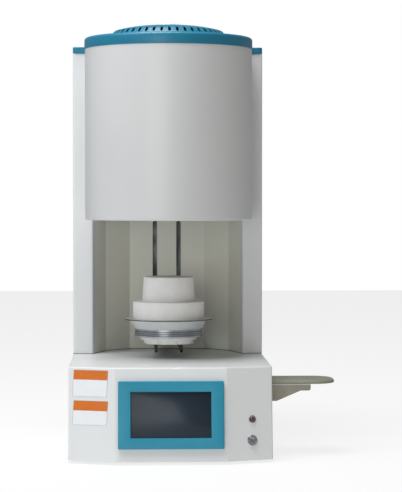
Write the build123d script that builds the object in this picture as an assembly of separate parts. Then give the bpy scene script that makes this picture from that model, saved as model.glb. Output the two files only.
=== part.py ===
from build123d import *
import math
import os

# Zirconia sintering furnace. A faceted base carries the controls, a two-column tower
# stands on it, an insulated drum hangs between the columns, and a screw lifts the
# hearth on two arms into the drum's mouth.
# Millimetres, +Z up, +X to the operator's right; the operator stands on the -Y side.
# While modelling, X = 0 is the middle of the tower, Y = 0 the front faces of its
# columns and Z = 0 the table. The last step moves all to the middle of the whole box.

# Sheets and clearances
SHEET = 1.5
BEND_R = 4.0
AIR = 0.3
RUN = 0.06
HANG_GAP = 2.0

# Base
BASE_W = 404.0
DECK_Z = 188.0
FOOT_H = 6.0
FOOT_D = 36.0
FOOT_INSET = 60.0
FRONT_REACH = 309.0
PANEL_W = 220.0
FACET_BACK = 31.0
PANEL_LEAN = 10.0
PAN_RIM_H = 10.0
PAN_RIM_INSET = 5.0

# Tower
TOWER_TOP = 828.0
COLUMN_FACE = 42.0
COLUMN_RETURN = 16.0
COLUMN_FLANGE = 18.0
ALCOVE_SIDE_IN = 26.0
ALCOVE_SIDE_DEPTH = 74.0
ALCOVE_REAR_HALF = 82.0
CAP_H = 14.0
CAP_WALL = 4.0
CAP_LIP = 2.0

# Rear cover
LOUVRE_W = 70.0
LOUVRE_OPEN = 5.0
LOUVRE_OUT = 5.0
LOUVRE_DROP = 8.0
LOUVRE_PITCH = 24.0
LOUVRE_ROWS = 9
LOUVRE_FIRST_Z = 560.0
LOUVRE_X = 90.0

# Furnace drum
DRUM_SIDE = 28.0
DRUM_WALL = 1.2
DRUM_LIP = 10.0
DRUM_BOTTOM = 476.0
DRUM_TOP = 830.0
DRUM_EDGE_R = 3.0
COLUMN_GAP = 5.0
DRUM_BACK_GAP = 30.0
MOUTH_PLATE_T = 3.0
WOOL_GAP = 0.5
LID_H = 23.5
LID_EDGE_R = 6.0
LID_PLATE_T = 2.0
LID_WALL = 4.5
LID_SPIGOT_H = 6.0
SADDLE_HALF = 70.0
SADDLE_H = 30.0
SADDLE_T = 3.0
SADDLE_HEIGHTS = (520.0, 770.0)

# Vent grille on the lid
GRILLE_R = 124.0
GRILLE_RISE = 25.5
GRILLE_SHOULDER_R = 112.0
GRILLE_SHOULDER_DROP = 11.0
GRILLE_FOOT_H = 1.5
GRILLE_CROWN_R = 30.0
GRILLE_T = 1.6
GRILLE_SLOTS = 46
GRILLE_SLOT_W = 5.6
GRILLE_SLOT_L = 14.0
GRILLE_SLOT_R = 113.0
LID_OPENING_R = 112.0
CROWN_CAP_R = 26.0
CROWN_CAP_H = 3.0

# Hot chamber
CHAMBER_D = 210.0
CHAMBER_H = 190.0
FLOOR_WOOL_T = 36.0
ROOF_WOOL_T = 84.0
MOUTH_CLEAR = 3.0
HEATER_COUNT = 4
HEATER_PITCH_R = 86.0
HEATER_HALF = 20.0
HOT_LEG_R = 3.0
COLD_LEG_R = 6.0
HEATER_BOTTOM_GAP = 14.0
COLD_LEG_DROP = 6.0
COLD_LEG_OUT = 32.0
HOLDER_H = 20.0
HOLDER_W = 24.0
TERMINAL_R = 10.0
TERMINAL_H = 10.0
LINK_T = 3.0
THERMO_R = 4.0
THERMO_HEAD_R = 14.0
THERMO_HEAD_H = 26.0
THERMO_TIP_DROP = 16.0

# Hearth, from the table under it up to its top
PEDESTAL_TOP_D = 103.0
PEDESTAL_FOOT_D = 111.0
PEDESTAL_H = 51.0
HEARTH_D = 148.0
HEARTH_H = 36.0
FLANGE_D = 184.0
FLANGE_BORE_R = 60.0
FLANGE_T = 2.0
DISH_TOP_R = 81.0
DISH_FOOT_R = 71.5
DISH_H = 19.0
DISH_T = 2.0
RIB_RING_R = 71.0
RIB_RING_H = 16.0
RIB_COUNT = 4
RIB_DEPTH = 2.5
COLLAR_R = 59.0
COLLAR_H = 7.0
TABLE_R = 52.0
TABLE_H = 8.0
TABLE_NOTCHES = 8
TABLE_NOTCH_R = 4.5
TABLE_BORE_R = 12.0
SOFT_EDGE = 1.5

# Lift
ARM_CLEAR = 12.0
ARM_T = 6.0
ARM_SPACING = 52.0
ARM_FRONT_H = 18.0
ARM_FRONT_REACH = 36.0
ARM_PLATE_T = 8.0
ARM_PLATE_HALF = 38.0
ARM_PLATE_GAP = 8.0
SLOT_CLEAR = 2.0
SLOT_END_GAP = 4.0
SEAL_GAP = 0.5
CARRIAGE_HALF = 80.0
CARRIAGE_T = 38.0
CARRIAGE_H = 60.0
ROD_R = 6.0
ROD_X = 60.0
BEARING_R = 10.5
SCREW_R = 6.0
NUT_R = 11.0
NUT_FLANGE_R = 16.0
NUT_FLANGE_T = 6.0
NUT_H = 30.0
BLOCK_HALF = 84.0
BLOCK_T = 18.0
BLOCK_GAP = 12.0
RACE_R = 14.0
RACE_T = 8.0
FRAME_T = 3.0
FRAME_HALF = 90.0
FRAME_FLANGE = 18.0
FRAME_FOOT = 26.0
FRAME_REAR_GAP = 10.0
BLOCK_DROP = 20.0

# Lift drive
MOTOR_W = 57.0
MOTOR_H = 74.0
MOTOR_CORNER = 5.0
MOTOR_PILOT_R = 19.0
MOTOR_PILOT_H = 3.0
MOTOR_PLATE_T = 6.0
MOTOR_PLATE_HALF = 45.0
MOTOR_SHAFT_R = 4.0
MOTOR_SHAFT_IN = 18.0
COUPLING_R = 12.5
COUPLING_H = 30.0
COUPLING_GAP = 6.0

# Controls
BEZEL_W = 208.0
BEZEL_H = 133.0
BEZEL_T = 8.0
BEZEL_CHAMFER = 2.0
BEZEL_MID_Z = 96.0
VIEW_W = 154.0
VIEW_H = 86.0
GLASS_RIM = 4.0
GLASS_T = 4.0
HOUSING_W = 190.0
HOUSING_H = 112.0
HOUSING_T = 34.0
HOUSING_GAP = 1.0
FACET_U = 53.0
LAMP_Z = 85.5
LAMP_RING_R = 8.0
LAMP_BARREL_R = 5.8
LAMP_LENS_R = 4.6
LAMP_BARREL_L = 24.0
BUTTON_Z = 44.7
BUTTON_RING_R = 10.5
BUTTON_BARREL_R = 9.3
BUTTON_CAP_R = 7.2
BUTTON_BARREL_L = 28.0
BUTTON_TRAVEL = 3.0
BUTTON_PROUD = 4.6
BUTTON_CAP_L = 14.0
RING_T = 2.0
NUT_T = 4.0
NUT_MARGIN = 3.0

# Side tray
TRAY_REACH = 134.0
TRAY_DEPTH = 100.0
TRAY_T = 7.5
TRAY_END_R = 42.0
TRAY_EDGE_R = 5.0
TRAY_FOOT_R = 2.0
TRAY_TOP_Z = 153.5
TRAY_MID_Y = -180.0
SUPPORT_REACH = 83.0
SUPPORT_T = 2.0
SUPPORT_MARGIN = 6.0
BRACKET_ROOT_H = 33.0
BRACKET_TIP_H = 12.0
BRACKET_ROOT_L = 14.0
BRACKET_WEB_T = 3.0
BRACKET_TIP_L = 20.0

# Fan and electrics
FAN_SIDE = 16.0
FAN_T = 25.0
FAN_RIM = 2.0
FAN_Z = 100.0
FAN_BLADE_GAP = 1.5
FAN_BLADES = 7
FAN_BLADE_PITCH = 38.0
FAN_PIN_R = 2.0
FAN_SPIDER_T = 3.0
FAN_BOSS_H = 6.0
GUARD_WIRE_R = 1.1
GUARD_STAND = 5.0
GLAND_X = 110.0
GLAND_Z = 60.0
GLAND_R = 10.0
GLAND_HEX_R = 14.0
CORD_HOLE_R = 4.0
TRANSFORMER_X = -105.0
TRANSFORMER_Y = -70.0
CORE_W = 100.0
CORE_T = 44.0
CORE_H = 88.0
CORE_LEG = 16.0
CORE_FEET_W = 76.0
CORE_FEET_T = 4.0
COIL_GAP = 1.0
COIL_OUT = 14.0
COIL_R = 12.0
CONTROLLER_X = 105.0
CONTROLLER_Y = -60.0
SINK_W = 90.0
SINK_L = 120.0
SINK_H = 50.0
SINK_PLATE_T = 8.0
SINK_FIN_T = 3.0
SINK_FINS = 8
MODULE_W = 50.0
MODULE_L = 70.0
MODULE_H = 26.0
BOARD_Y = -200.0
BOARD_W = 140.0
BOARD_L = 90.0
BOARD_T = 1.6
BOARD_POST_R = 3.0
BOARD_POST_H = 10.0
BOARD_CAN_R = 8.0

# Places that follow from the sizes above
LEAN = math.tan(math.radians(PANEL_LEAN))
DRUM_R = BASE_W / 2 - DRUM_SIDE
INNER_HALF = BASE_W / 2 - COLUMN_FACE
DRUM_Y = -math.sqrt((DRUM_R + COLUMN_GAP) ** 2 - INNER_HALF**2)
ALCOVE_DEPTH = math.ceil(DRUM_Y + DRUM_R + DRUM_BACK_GAP)
WOOL_R = DRUM_R - DRUM_WALL - WOOL_GAP
MOUTH_R = HEARTH_D / 2 + MOUTH_CLEAR
MOUTH_PLATE_Z = DRUM_BOTTOM + DRUM_WALL
FLOOR_WOOL_Z = MOUTH_PLATE_Z + MOUTH_PLATE_T
CHAMBER_Z = FLOOR_WOOL_Z + FLOOR_WOOL_T
ROOF_Z = CHAMBER_Z + CHAMBER_H
ROOF_TOP = ROOF_Z + ROOF_WOOL_T
LID_R = DRUM_R + 1.0
LID_TOP = DRUM_TOP + LID_H

ARM_Z = DECK_Z + ARM_CLEAR
TABLE_Z = ARM_Z + ARM_FRONT_H
COLLAR_Z = TABLE_Z + TABLE_H
RIB_Z = COLLAR_Z + COLLAR_H
DISH_Z = RIB_Z + RIB_RING_H
FLANGE_Z = DISH_Z + DISH_H
HEARTH_Z = FLANGE_Z + FLANGE_T
PEDESTAL_Z = HEARTH_Z + HEARTH_H
LIFT_TRAVEL = MOUTH_PLATE_Z - HEARTH_Z - SEAL_GAP

PANEL_BACK = ALCOVE_DEPTH + SHEET
ARM_PLATE_Y = PANEL_BACK + ARM_PLATE_GAP
CARRIAGE_Y = ARM_PLATE_Y + ARM_PLATE_T
SCREW_Y = CARRIAGE_Y + CARRIAGE_T / 2
FRAME_Y = SCREW_Y + MOTOR_W / 2 + HANG_GAP
REAR_IN = FRAME_Y + FRAME_T + FRAME_REAR_GAP
TOWER_D = REAR_IN + SHEET
PAN_TOP = FOOT_H + SHEET
LOW_BLOCK_Z = ARM_Z - NUT_FLANGE_T - BLOCK_DROP - BLOCK_T
TOP_BLOCK_Z = ARM_Z + CARRIAGE_H + LIFT_TRAVEL + BLOCK_GAP
COUPLING_Z = LOW_BLOCK_Z - COUPLING_GAP - COUPLING_H
MOTOR_TOP = COUPLING_Z - COUPLING_GAP - MOTOR_PLATE_T

FAN_W = BASE_W / 2 - FRAME_HALF - 2 * FAN_SIDE
FAN_X = -(BASE_W / 2 + FRAME_HALF) / 2
FAN_BORE_R = FAN_W / 2 - FAN_RIM
FAN_HUB_R = FAN_W / 5


# Helpers
def prism(points, height, z=0.0):
    """Stand a closed outline up from height z."""
    return Pos(0, 0, z) * extrude(make_face(Polyline(*points, close=True)), height)


def folded(points, height, z):
    """A folded sheet that stands upright, with its thickness on the right of the line."""
    line = FilletPolyline(*points, radius=BEND_R)
    outline = offset(line, amount=SHEET, side=Side.RIGHT, closed=True)
    return Pos(0, 0, z) * extrude(make_face(outline), height)


def turned(points, x=0.0, y=DRUM_Y):
    """Turn a closed (radius, height) outline about an upright axis."""
    profile = make_face(Plane.XZ * Polyline(*points, close=True))
    return Pos(x, y, 0) * revolve(profile, Axis.Z)


def ring(r_in, r_out, z0, z1, x=0.0, y=DRUM_Y):
    """A plain upright ring or tube."""
    return turned([(r_in, z0), (r_out, z0), (r_out, z1), (r_in, z1)], x, y)


def rod(radius, z0, z1, x=0.0, y=DRUM_Y):
    """A plain upright cylinder between two heights."""
    return Pos(x, y, (z0 + z1) / 2) * Cylinder(radius, z1 - z0)


def block(x0, x1, y0, y1, z0, z1):
    """A rectangular solid between its limits."""
    middle = Pos((x0 + x1) / 2, (y0 + y1) / 2, (z0 + z1) / 2)
    return middle * Box(x1 - x0, y1 - y0, z1 - z0)


def lean_at(z):
    """How far the leaning front stands out at height z, from its top edge."""
    return LEAN * (DECK_Z - z)


def panel_plane(z):
    """The centre panel's outer face, with its origin in the middle at height z."""
    tilt = math.radians(PANEL_LEAN)
    origin = (0, -FRONT_REACH - lean_at(z), z)
    return Plane(origin, x_dir=(1, 0, 0), z_dir=(0, -math.cos(tilt), math.sin(tilt)))


def facet_plane(u, z):
    """The right facet's outer face, u along it from its seam with the centre panel."""
    run = BASE_W / 2 - PANEL_W / 2
    along = Vector(run, FACET_BACK, 0).normalized()
    seam = Vector(0, -LEAN, -1)
    origin = Vector(PANEL_W / 2, -FRONT_REACH - lean_at(z), z) + along * u
    return Plane(origin, x_dir=along, z_dir=seam.cross(along).normalized())


def on(plane, shape):
    """Put a shape that was modelled at the origin on a plane."""
    return plane.location * shape


def hex_nut(bore_r, flat_r):
    """A hexagonal nut that lies behind a panel, below local z = 0."""
    body = extrude(RegularPolygon(flat_r, 6) - Circle(bore_r), NUT_T)
    return Pos(0, 0, -SHEET - NUT_T) * body


# Base
def base_slice(z, rear, inset=0.0):
    """The base's outline at height z, moved in by inset."""
    front = -FRONT_REACH - lean_at(z)
    side = front + FACET_BACK
    half, seam = BASE_W / 2, PANEL_W / 2
    points = [(-half, rear), (-half, side), (-seam, front)]
    points += [(seam, front), (half, side), (half, rear)]
    face = make_face(Polyline(*points, close=True))
    if inset:
        face = offset(face, -inset)
    return (Pos(0, 0, z) * face).face()


def base_shell():
    """The folded cover: deck, leaning panel, side facets and sides."""
    body = loft([base_slice(FOOT_H, REAR_IN), base_slice(DECK_Z, REAR_IN)], ruled=True)
    rounded = [
        e for e in body.edges() if e.center().Z > FOOT_H + SHEET and e.center().Y < REAR_IN - SHEET
    ]
    body = fillet(rounded, BEND_R - AIR)
    low = base_slice(FOOT_H, REAR_IN + BEND_R, SHEET)
    high = base_slice(DECK_Z - SHEET, REAR_IN + BEND_R, SHEET)
    body -= loft([low, high], ruled=True)
    well_front = PANEL_BACK + HANG_GAP
    well_half = ALCOVE_REAR_HALF + SLOT_END_GAP * 2
    deck_low = DECK_Z - 2 * SHEET
    body -= block(-well_half, well_half, well_front, REAR_IN, deck_low, DECK_Z + SHEET)
    window = Box(HOUSING_W + 2 * HOUSING_GAP, HOUSING_H + 2 * HOUSING_GAP, 4 * SHEET)
    body -= on(panel_plane(BEZEL_MID_Z), window)
    body -= on(facet_plane(FACET_U, LAMP_Z), Cylinder(LAMP_BARREL_R + AIR, 4 * SHEET))
    body -= on(facet_plane(FACET_U, BUTTON_Z), Cylinder(BUTTON_BARREL_R + AIR, 4 * SHEET))
    return body


def base_pan():
    """Bottom plate with a low rim and two rows of air slots."""
    floor_face = base_slice(FOOT_H, REAR_IN, SHEET + AIR)
    body = extrude(floor_face, SHEET, dir=(0, 0, 1))
    outer = base_slice(FOOT_H, REAR_IN, SHEET + PAN_RIM_INSET)
    inner = base_slice(FOOT_H, REAR_IN, 2 * SHEET + PAN_RIM_INSET)
    body += Pos(0, 0, SHEET) * extrude(Sketch() + outer - inner, PAN_RIM_H, dir=(0, 0, 1))
    slot = Pos(0, 0, FOOT_H) * extrude(SlotOverall(50, 6), SHEET, both=True)
    for x in (-40, 40):
        for row in range(5):
            body -= Pos(x, -150 + 18 * row, SHEET / 2) * slot
    return body


def foot_places():
    """Where the four feet stand."""
    x = BASE_W / 2 - FOOT_INSET
    front = -FRONT_REACH + FOOT_INSET
    rear = REAR_IN - FOOT_INSET
    return [(-x, front), (x, front), (-x, rear), (x, rear)]


def rubber_feet():
    """Four low tapered feet, hollow around their screw."""
    r = FOOT_D / 2
    outline = [(5, 0), (r - 2, 0), (r, FOOT_H), (0, FOOT_H), (0, FOOT_H / 2), (5, FOOT_H / 2)]
    return Compound([turned(outline, x, y).solid() for x, y in foot_places()])


# Tower
def return_end():
    """Inner end of the right column's folded return, on the alcove's slanted side."""
    length = math.hypot(ALCOVE_SIDE_IN, ALCOVE_SIDE_DEPTH)
    share = COLUMN_RETURN / length
    return (INNER_HALF - ALCOVE_SIDE_IN * share, ALCOVE_SIDE_DEPTH * share)


def right_column():
    """A folded channel: rear flange, side, face and a return into the alcove."""
    half = BASE_W / 2
    points = [(half - COLUMN_FLANGE, REAR_IN), (half, REAR_IN), (half, 0)]
    points += [(INNER_HALF, 0), return_end()]
    return folded(points, TOWER_TOP - DECK_Z, DECK_Z)


def alcove_panel():
    """The bent sheet behind the hearth, with a slot for each lift arm."""
    x, y = return_end()
    side = (INNER_HALF - ALCOVE_SIDE_IN, ALCOVE_SIDE_DEPTH)
    rear = (ALCOVE_REAR_HALF, ALCOVE_DEPTH)
    points = [(x, y), side, rear, (-rear[0], rear[1]), (-side[0], side[1]), (-x, y)]
    body = folded(points, TOWER_TOP - DECK_Z, DECK_Z)
    low = ARM_Z - SLOT_END_GAP
    high = ARM_Z + CARRIAGE_H + LIFT_TRAVEL + SLOT_END_GAP
    slot = SlotOverall(high - low, ARM_T + 2 * SLOT_CLEAR, rotation=90)
    cutter = extrude(Plane.XZ * slot, BEND_R, both=True)
    for x in (-ARM_SPACING / 2, ARM_SPACING / 2):
        body -= Pos(x, ALCOVE_DEPTH, (low + high) / 2) * cutter
    return body


def louvre(x, top):
    """One pressed hood that sheds to the rear, open below."""
    out, low = TOWER_D + LOUVRE_OUT, top - LOUVRE_DROP
    hood = [(TOWER_D, top), (out, low), (out - SHEET, low), (TOWER_D, top - 1.2 * SHEET)]
    cheek = [(TOWER_D, top), (out, low), (TOWER_D, low)]
    body = extrude(make_face(Plane.YZ * Polyline(*hood, close=True)), LOUVRE_W / 2, both=True)
    side = extrude(make_face(Plane.YZ * Polyline(*cheek, close=True)), SHEET / 2, both=True)
    for end in (-1, 1):
        body += Pos(end * (LOUVRE_W - SHEET) / 2, 0, 0) * side
    return Pos(x, 0, 0) * body


def rear_cover():
    """The whole rear: louvres above, fan opening and cord gland hole below."""
    half = BASE_W / 2
    body = block(-half, half, REAR_IN, TOWER_D, FOOT_H, TOWER_TOP)
    for x in (-LOUVRE_X, LOUVRE_X):
        for row in range(LOUVRE_ROWS):
            top = LOUVRE_FIRST_Z + row * LOUVRE_PITCH
            low = top - LOUVRE_DROP
            cut_half = LOUVRE_W / 2 - SHEET
            body -= block(x - cut_half, x + cut_half, REAR_IN, TOWER_D, low, low + LOUVRE_OPEN)
            body += louvre(x, top)
    across = extrude(Plane.XZ * Circle(FAN_BORE_R), SHEET * 2, both=True)
    body -= Pos(FAN_X, TOWER_D, FAN_Z) * across
    across = extrude(Plane.XZ * Circle(GLAND_R + AIR), SHEET * 2, both=True)
    body -= Pos(GLAND_X, TOWER_D, GLAND_Z) * across
    return body


def tower_cap():
    """Moulded cap over both columns, hollow below and cut round for the drum."""
    depth = TOWER_D + CAP_LIP
    outline = Pos(0, TOWER_D / 2 - CAP_LIP / 2) * RectangleRounded(BASE_W, depth, 2 * BEND_R)
    outline -= Pos(0, DRUM_Y) * Circle(DRUM_R + HANG_GAP + SADDLE_T)
    body = extrude(outline, CAP_H)
    rims = [e for e in body.edges() if abs(e.center().Z - CAP_H / 2) > CAP_H / 2 - AIR]
    body = fillet(rims, CAP_WALL / 2)
    inner = offset(outline, -CAP_WALL)
    body -= extrude(inner, CAP_H - CAP_WALL)
    return Pos(0, 0, TOWER_TOP) * body


# Furnace drum
def drum_shell():
    """White drum wall, turned in at its lower edge."""
    low = DRUM_BOTTOM
    inner, lip = DRUM_R - DRUM_WALL, DRUM_R - DRUM_LIP
    outline = [(inner, DRUM_TOP), (DRUM_R, DRUM_TOP), (DRUM_R, low), (lip, low)]
    outline += [(lip, low + DRUM_WALL), (inner, low + DRUM_WALL)]
    body = turned(outline)
    edge = body.edges().filter_by(GeomType.CIRCLE).filter_by(lambda e: e.radius > DRUM_R - AIR)
    return fillet(edge.sort_by(Axis.Z)[0], DRUM_EDGE_R)


def drum_lid():
    """Teal ring over the drum: rounded top edge, and a spigot inside the wall."""
    wall_in = LID_R - LID_WALL
    spigot = DRUM_R - DRUM_WALL - AIR
    low = DRUM_TOP - LID_SPIGOT_H
    outline = [(LID_R, DRUM_TOP), (LID_R, LID_TOP), (LID_OPENING_R, LID_TOP)]
    outline += [(LID_OPENING_R, LID_TOP - LID_PLATE_T), (wall_in, LID_TOP - LID_PLATE_T)]
    outline += [(wall_in, low), (spigot, low), (spigot, DRUM_TOP)]
    body = turned(outline)
    rims = body.edges().filter_by(GeomType.CIRCLE).filter_by(lambda e: e.radius > LID_R - AIR)
    return fillet(rims.sort_by(Axis.Z)[-1], LID_EDGE_R)


def grille_curve(drop):
    """The dome's section line from its foot to the crown, lowered by its wall."""
    foot = (GRILLE_R - drop, LID_TOP + GRILLE_FOOT_H)
    top = LID_TOP + GRILLE_RISE - drop
    shoulder = (GRILLE_SHOULDER_R - drop / 2, top - GRILLE_SHOULDER_DROP)
    crown = (GRILLE_CROWN_R, top)
    middle_r = (shoulder[0] + crown[0]) / 2
    middle = (middle_r, top - GRILLE_SHOULDER_DROP / 4)
    return [foot, shoulder, middle, crown, (0, top)]


def vent_grille():
    """Domed grille with a ring of radial slots in its sloping skirt."""
    foot, shoulder, middle, crown, pole = grille_curve(0)
    foot_in, shoulder_in, middle_in, crown_in, pole_in = grille_curve(GRILLE_T)
    rim, rim_in = (foot[0], LID_TOP), (foot_in[0], LID_TOP)
    section = Polyline(rim, foot, shoulder) + ThreePointArc(shoulder, middle, crown)
    section += Polyline(crown, pole, pole_in, crown_in)
    section += ThreePointArc(crown_in, middle_in, shoulder_in)
    section += Polyline(shoulder_in, foot_in, rim_in, rim)
    body = revolve(make_face(Plane.XZ * section), Axis.Z)
    slot = Pos(GRILLE_SLOT_R, 0) * SlotOverall(GRILLE_SLOT_L, GRILLE_SLOT_W)
    cutter = extrude(slot, 2 * GRILLE_RISE)
    body -= [
        Rot(0, 0, 360 * (i + 0.5) / GRILLE_SLOTS) * Pos(0, 0, LID_TOP) * cutter
        for i in range(GRILLE_SLOTS)
    ]
    return Pos(0, DRUM_Y, 0) * body


def crown_cap():
    """Small white disc on the grille's flat crown."""
    low = LID_TOP + GRILLE_RISE
    disc = rod(CROWN_CAP_R, low, low + CROWN_CAP_H)
    return fillet(disc.edges().sort_by(Axis.Z)[-1], CROWN_CAP_H / 2)


def drum_saddles():
    """Two brackets that carry the drum on the alcove's rear sheet."""
    curve_in = DRUM_R + AIR
    sector = Pos(0, DRUM_Y) * (Circle(curve_in + SADDLE_T) - Circle(curve_in))
    front = Rectangle(2 * SADDLE_HALF, ALCOVE_DEPTH, align=(Align.CENTER, Align.MIN))
    curved = sector & front
    back = Pos(0, ALCOVE_DEPTH - SADDLE_T / 2) * Rectangle(2 * SADDLE_HALF, SADDLE_T)
    web = front - Pos(0, DRUM_Y) * Circle(curve_in)
    bracket = extrude(curved, SADDLE_H) + extrude(back, SADDLE_H)
    bracket += extrude(web, SADDLE_T)
    return Compound([(Pos(0, 0, z) * bracket).solid() for z in SADDLE_HEIGHTS])


# Hot chamber
def heater_places():
    """Angle and leg centres of each heater about the drum's axis."""
    places = []
    for i in range(HEATER_COUNT):
        angle = 360 * (i + 0.5) / HEATER_COUNT
        places.append(Pos(0, DRUM_Y, 0) * Rot(0, 0, angle) * Pos(HEATER_PITCH_R, 0, 0))
    return places


def roof_wool():
    """Roof board with a hole for each cold leg and one for the thermocouple."""
    body = rod(WOOL_R, ROOF_Z, ROOF_TOP)
    body -= rod(THERMO_R + AIR, ROOF_Z, ROOF_TOP)
    hole = Pos(0, 0, ROOF_Z + ROOF_WOOL_T / 2) * Cylinder(COLD_LEG_R + AIR, ROOF_WOOL_T)
    for place in heater_places():
        for side in (-HEATER_HALF, HEATER_HALF):
            body -= place * Pos(0, side, 0) * hole
    return body


def heating_elements():
    """U-shaped elements: thick cold legs through the roof, thin hot hairpins below."""
    bend_z = CHAMBER_Z + HEATER_BOTTOM_GAP + HEATER_HALF
    cold_z = ROOF_Z - COLD_LEG_DROP
    top = ROOF_TOP + COLD_LEG_OUT
    reach = HEATER_HALF + HOT_LEG_R
    lower_half = Pos(0, 0, -reach / 2) * Box(2 * reach, 2 * reach, reach)
    bend = Rot(0, 90, 0) * Torus(HEATER_HALF, HOT_LEG_R) & lower_half
    one = Pos(0, 0, bend_z) * bend
    for side in (-HEATER_HALF, HEATER_HALF):
        one += rod(HOT_LEG_R, bend_z, cold_z, 0, side)
        one += rod(COLD_LEG_R, cold_z, top, 0, side)
    return Compound([(place * one).solid() for place in heater_places()])


def element_holders():
    """A ceramic block under each pair of cold legs, on the roof board."""
    half_y = HEATER_HALF + HOLDER_W / 2
    one = block(-HOLDER_W / 2, HOLDER_W / 2, -half_y, half_y, ROOF_TOP, ROOF_TOP + HOLDER_H)
    for side in (-HEATER_HALF, HEATER_HALF):
        one -= rod(COLD_LEG_R + RUN, ROOF_TOP, ROOF_TOP + HOLDER_H, 0, side)
    return Compound([(place * one).solid() for place in heater_places()])


def terminal_links():
    """Clamps on the cold legs, joined from one element to the next by strips."""
    low = ROOF_TOP + HOLDER_H
    clamp = ring(COLD_LEG_R + RUN, TERMINAL_R, low, low + TERMINAL_H, 0, 0)
    legs = math.hypot(HEATER_PITCH_R, HEATER_HALF)
    strip = Circle(legs + TERMINAL_R / 2) - Circle(legs - TERMINAL_R / 2)
    step = 360 / HEATER_COUNT
    swing = math.degrees(math.atan2(HEATER_HALF, HEATER_PITCH_R))
    pieces = []
    for i in range(HEATER_COUNT - 1):
        first = step * (i + 0.5) + swing
        last = step * (i + 1.5) - swing
        far = 2 * legs
        corner = far / math.cos(math.radians((last - first) / 2))
        middle = (first + last) / 2
        wedge = [(0, 0)]
        for angle, reach in ((first, far), (middle, corner), (last, far)):
            turn = math.radians(angle)
            wedge.append((reach * math.cos(turn), reach * math.sin(turn)))
        sector = strip & make_face(Polyline(*wedge, close=True))
        link = Pos(0, 0, low) * extrude(sector, LINK_T)
        for angle in (first, last):
            place = Rot(0, 0, angle) * Pos(legs, 0, 0)
            link -= place * rod(TERMINAL_R, low, low + LINK_T, 0, 0)
            link += place * clamp
        pieces.append((Pos(0, DRUM_Y, 0) * link).solid())
    for angle in (step * 0.5 - swing, step * (HEATER_COUNT - 0.5) + swing):
        place = Pos(0, DRUM_Y, 0) * Rot(0, 0, angle) * Pos(legs, 0, 0)
        pieces.append((place * clamp).solid())
    return Compound(pieces)


def thermocouple():
    """Ceramic tube through the roof with its connection head above."""
    body = rod(THERMO_R, ROOF_Z - THERMO_TIP_DROP, ROOF_TOP)
    return body + rod(THERMO_HEAD_R, ROOF_TOP, ROOF_TOP + THERMO_HEAD_H)


# Hearth
def pedestal():
    """Tapered upper block that carries the crucible."""
    top = PEDESTAL_Z + PEDESTAL_H
    outline = [(0, PEDESTAL_Z), (PEDESTAL_FOOT_D / 2, PEDESTAL_Z), (PEDESTAL_TOP_D / 2, top), (0, top)]
    body = turned(outline)
    return fillet(body.edges().sort_by(Axis.Z)[-1], SOFT_EDGE)


def hearth_base():
    """Straight lower block that fills the drum's mouth."""
    body = rod(HEARTH_D / 2, HEARTH_Z, PEDESTAL_Z)
    return fillet(body.edges().sort_by(Axis.Z)[-1], SOFT_EDGE)


def hearth_dish():
    """Pressed conical dish under the flange, with a flat floor."""
    thin = DISH_T
    low, high = DISH_Z, FLANGE_Z
    outline = [(0, low), (DISH_FOOT_R, low), (DISH_TOP_R, high), (DISH_TOP_R - thin, high)]
    outline += [(DISH_FOOT_R - thin, low + thin), (0, low + thin)]
    return turned(outline)


def ribbed_ring():
    """Aluminium ring with rounded ribs around it."""
    pitch = RIB_RING_H / RIB_COUNT
    body = ring(COLLAR_R - RIB_DEPTH * 2, RIB_RING_R, RIB_Z, DISH_Z)
    for i in range(1, RIB_COUNT):
        z = RIB_Z + i * pitch
        deep, half = RIB_RING_R - RIB_DEPTH, pitch * 0.36
        groove = [(deep, z), (RIB_RING_R, z - half), (RIB_RING_R + SHEET, z - half)]
        groove += [(RIB_RING_R + SHEET, z + half), (RIB_RING_R, z + half)]
        body -= turned(groove)
    return body


def hearth_table():
    """Notched ring that sits on the arms."""
    body = ring(TABLE_BORE_R, TABLE_R, TABLE_Z, COLLAR_Z)
    for i in range(TABLE_NOTCHES):
        place = Pos(0, DRUM_Y, 0) * Rot(0, 0, 360 * (i + 0.5) / TABLE_NOTCHES)
        body -= place * rod(TABLE_NOTCH_R, TABLE_Z, COLLAR_Z, TABLE_R, 0)
    return body


# Lift
def lift_arms():
    """Back plate and two tapering arms, welded into one piece."""
    rear = ARM_PLATE_Y + ARM_PLATE_T
    half = ARM_PLATE_HALF
    body = block(-half, half, ARM_PLATE_Y, rear, ARM_Z, ARM_Z + CARRIAGE_H)
    tip, low = DRUM_Y - ARM_FRONT_REACH, ARM_Z + ARM_FRONT_H
    knee = DRUM_Y + RIB_RING_R + SHEET
    top = (ALCOVE_SIDE_DEPTH, ARM_Z + CARRIAGE_H)
    side = [(ARM_PLATE_Y, ARM_Z), (ARM_PLATE_Y, top[1]), top, (knee, low), (tip, low)]
    side += [(tip, ARM_Z + ARM_FRONT_H / 3), (tip + ARM_FRONT_H / 2, ARM_Z)]
    arm = extrude(make_face(Plane.YZ * Polyline(*side, close=True)), ARM_T / 2, both=True)
    for x in (-ARM_SPACING / 2, ARM_SPACING / 2):
        body += Pos(x, 0, 0) * arm
    return body


def carriage():
    """Block that runs on the two rods and carries the nut."""
    top, half = ARM_Z + CARRIAGE_H, CARRIAGE_HALF
    body = block(-half, half, CARRIAGE_Y, CARRIAGE_Y + CARRIAGE_T, ARM_Z, top)
    body -= rod(NUT_R + RUN, ARM_Z, top, 0, SCREW_Y)
    for x in (-ROD_X, ROD_X):
        body -= rod(BEARING_R + RUN, ARM_Z, top, x, SCREW_Y)
    return body


def linear_bearings():
    """A bush on each guide rod, pressed in the carriage."""
    top = ARM_Z + CARRIAGE_H
    bushes = [ring(ROD_R + RUN, BEARING_R, ARM_Z, top, x, SCREW_Y) for x in (-ROD_X, ROD_X)]
    return Compound([bush.solid() for bush in bushes])


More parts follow.
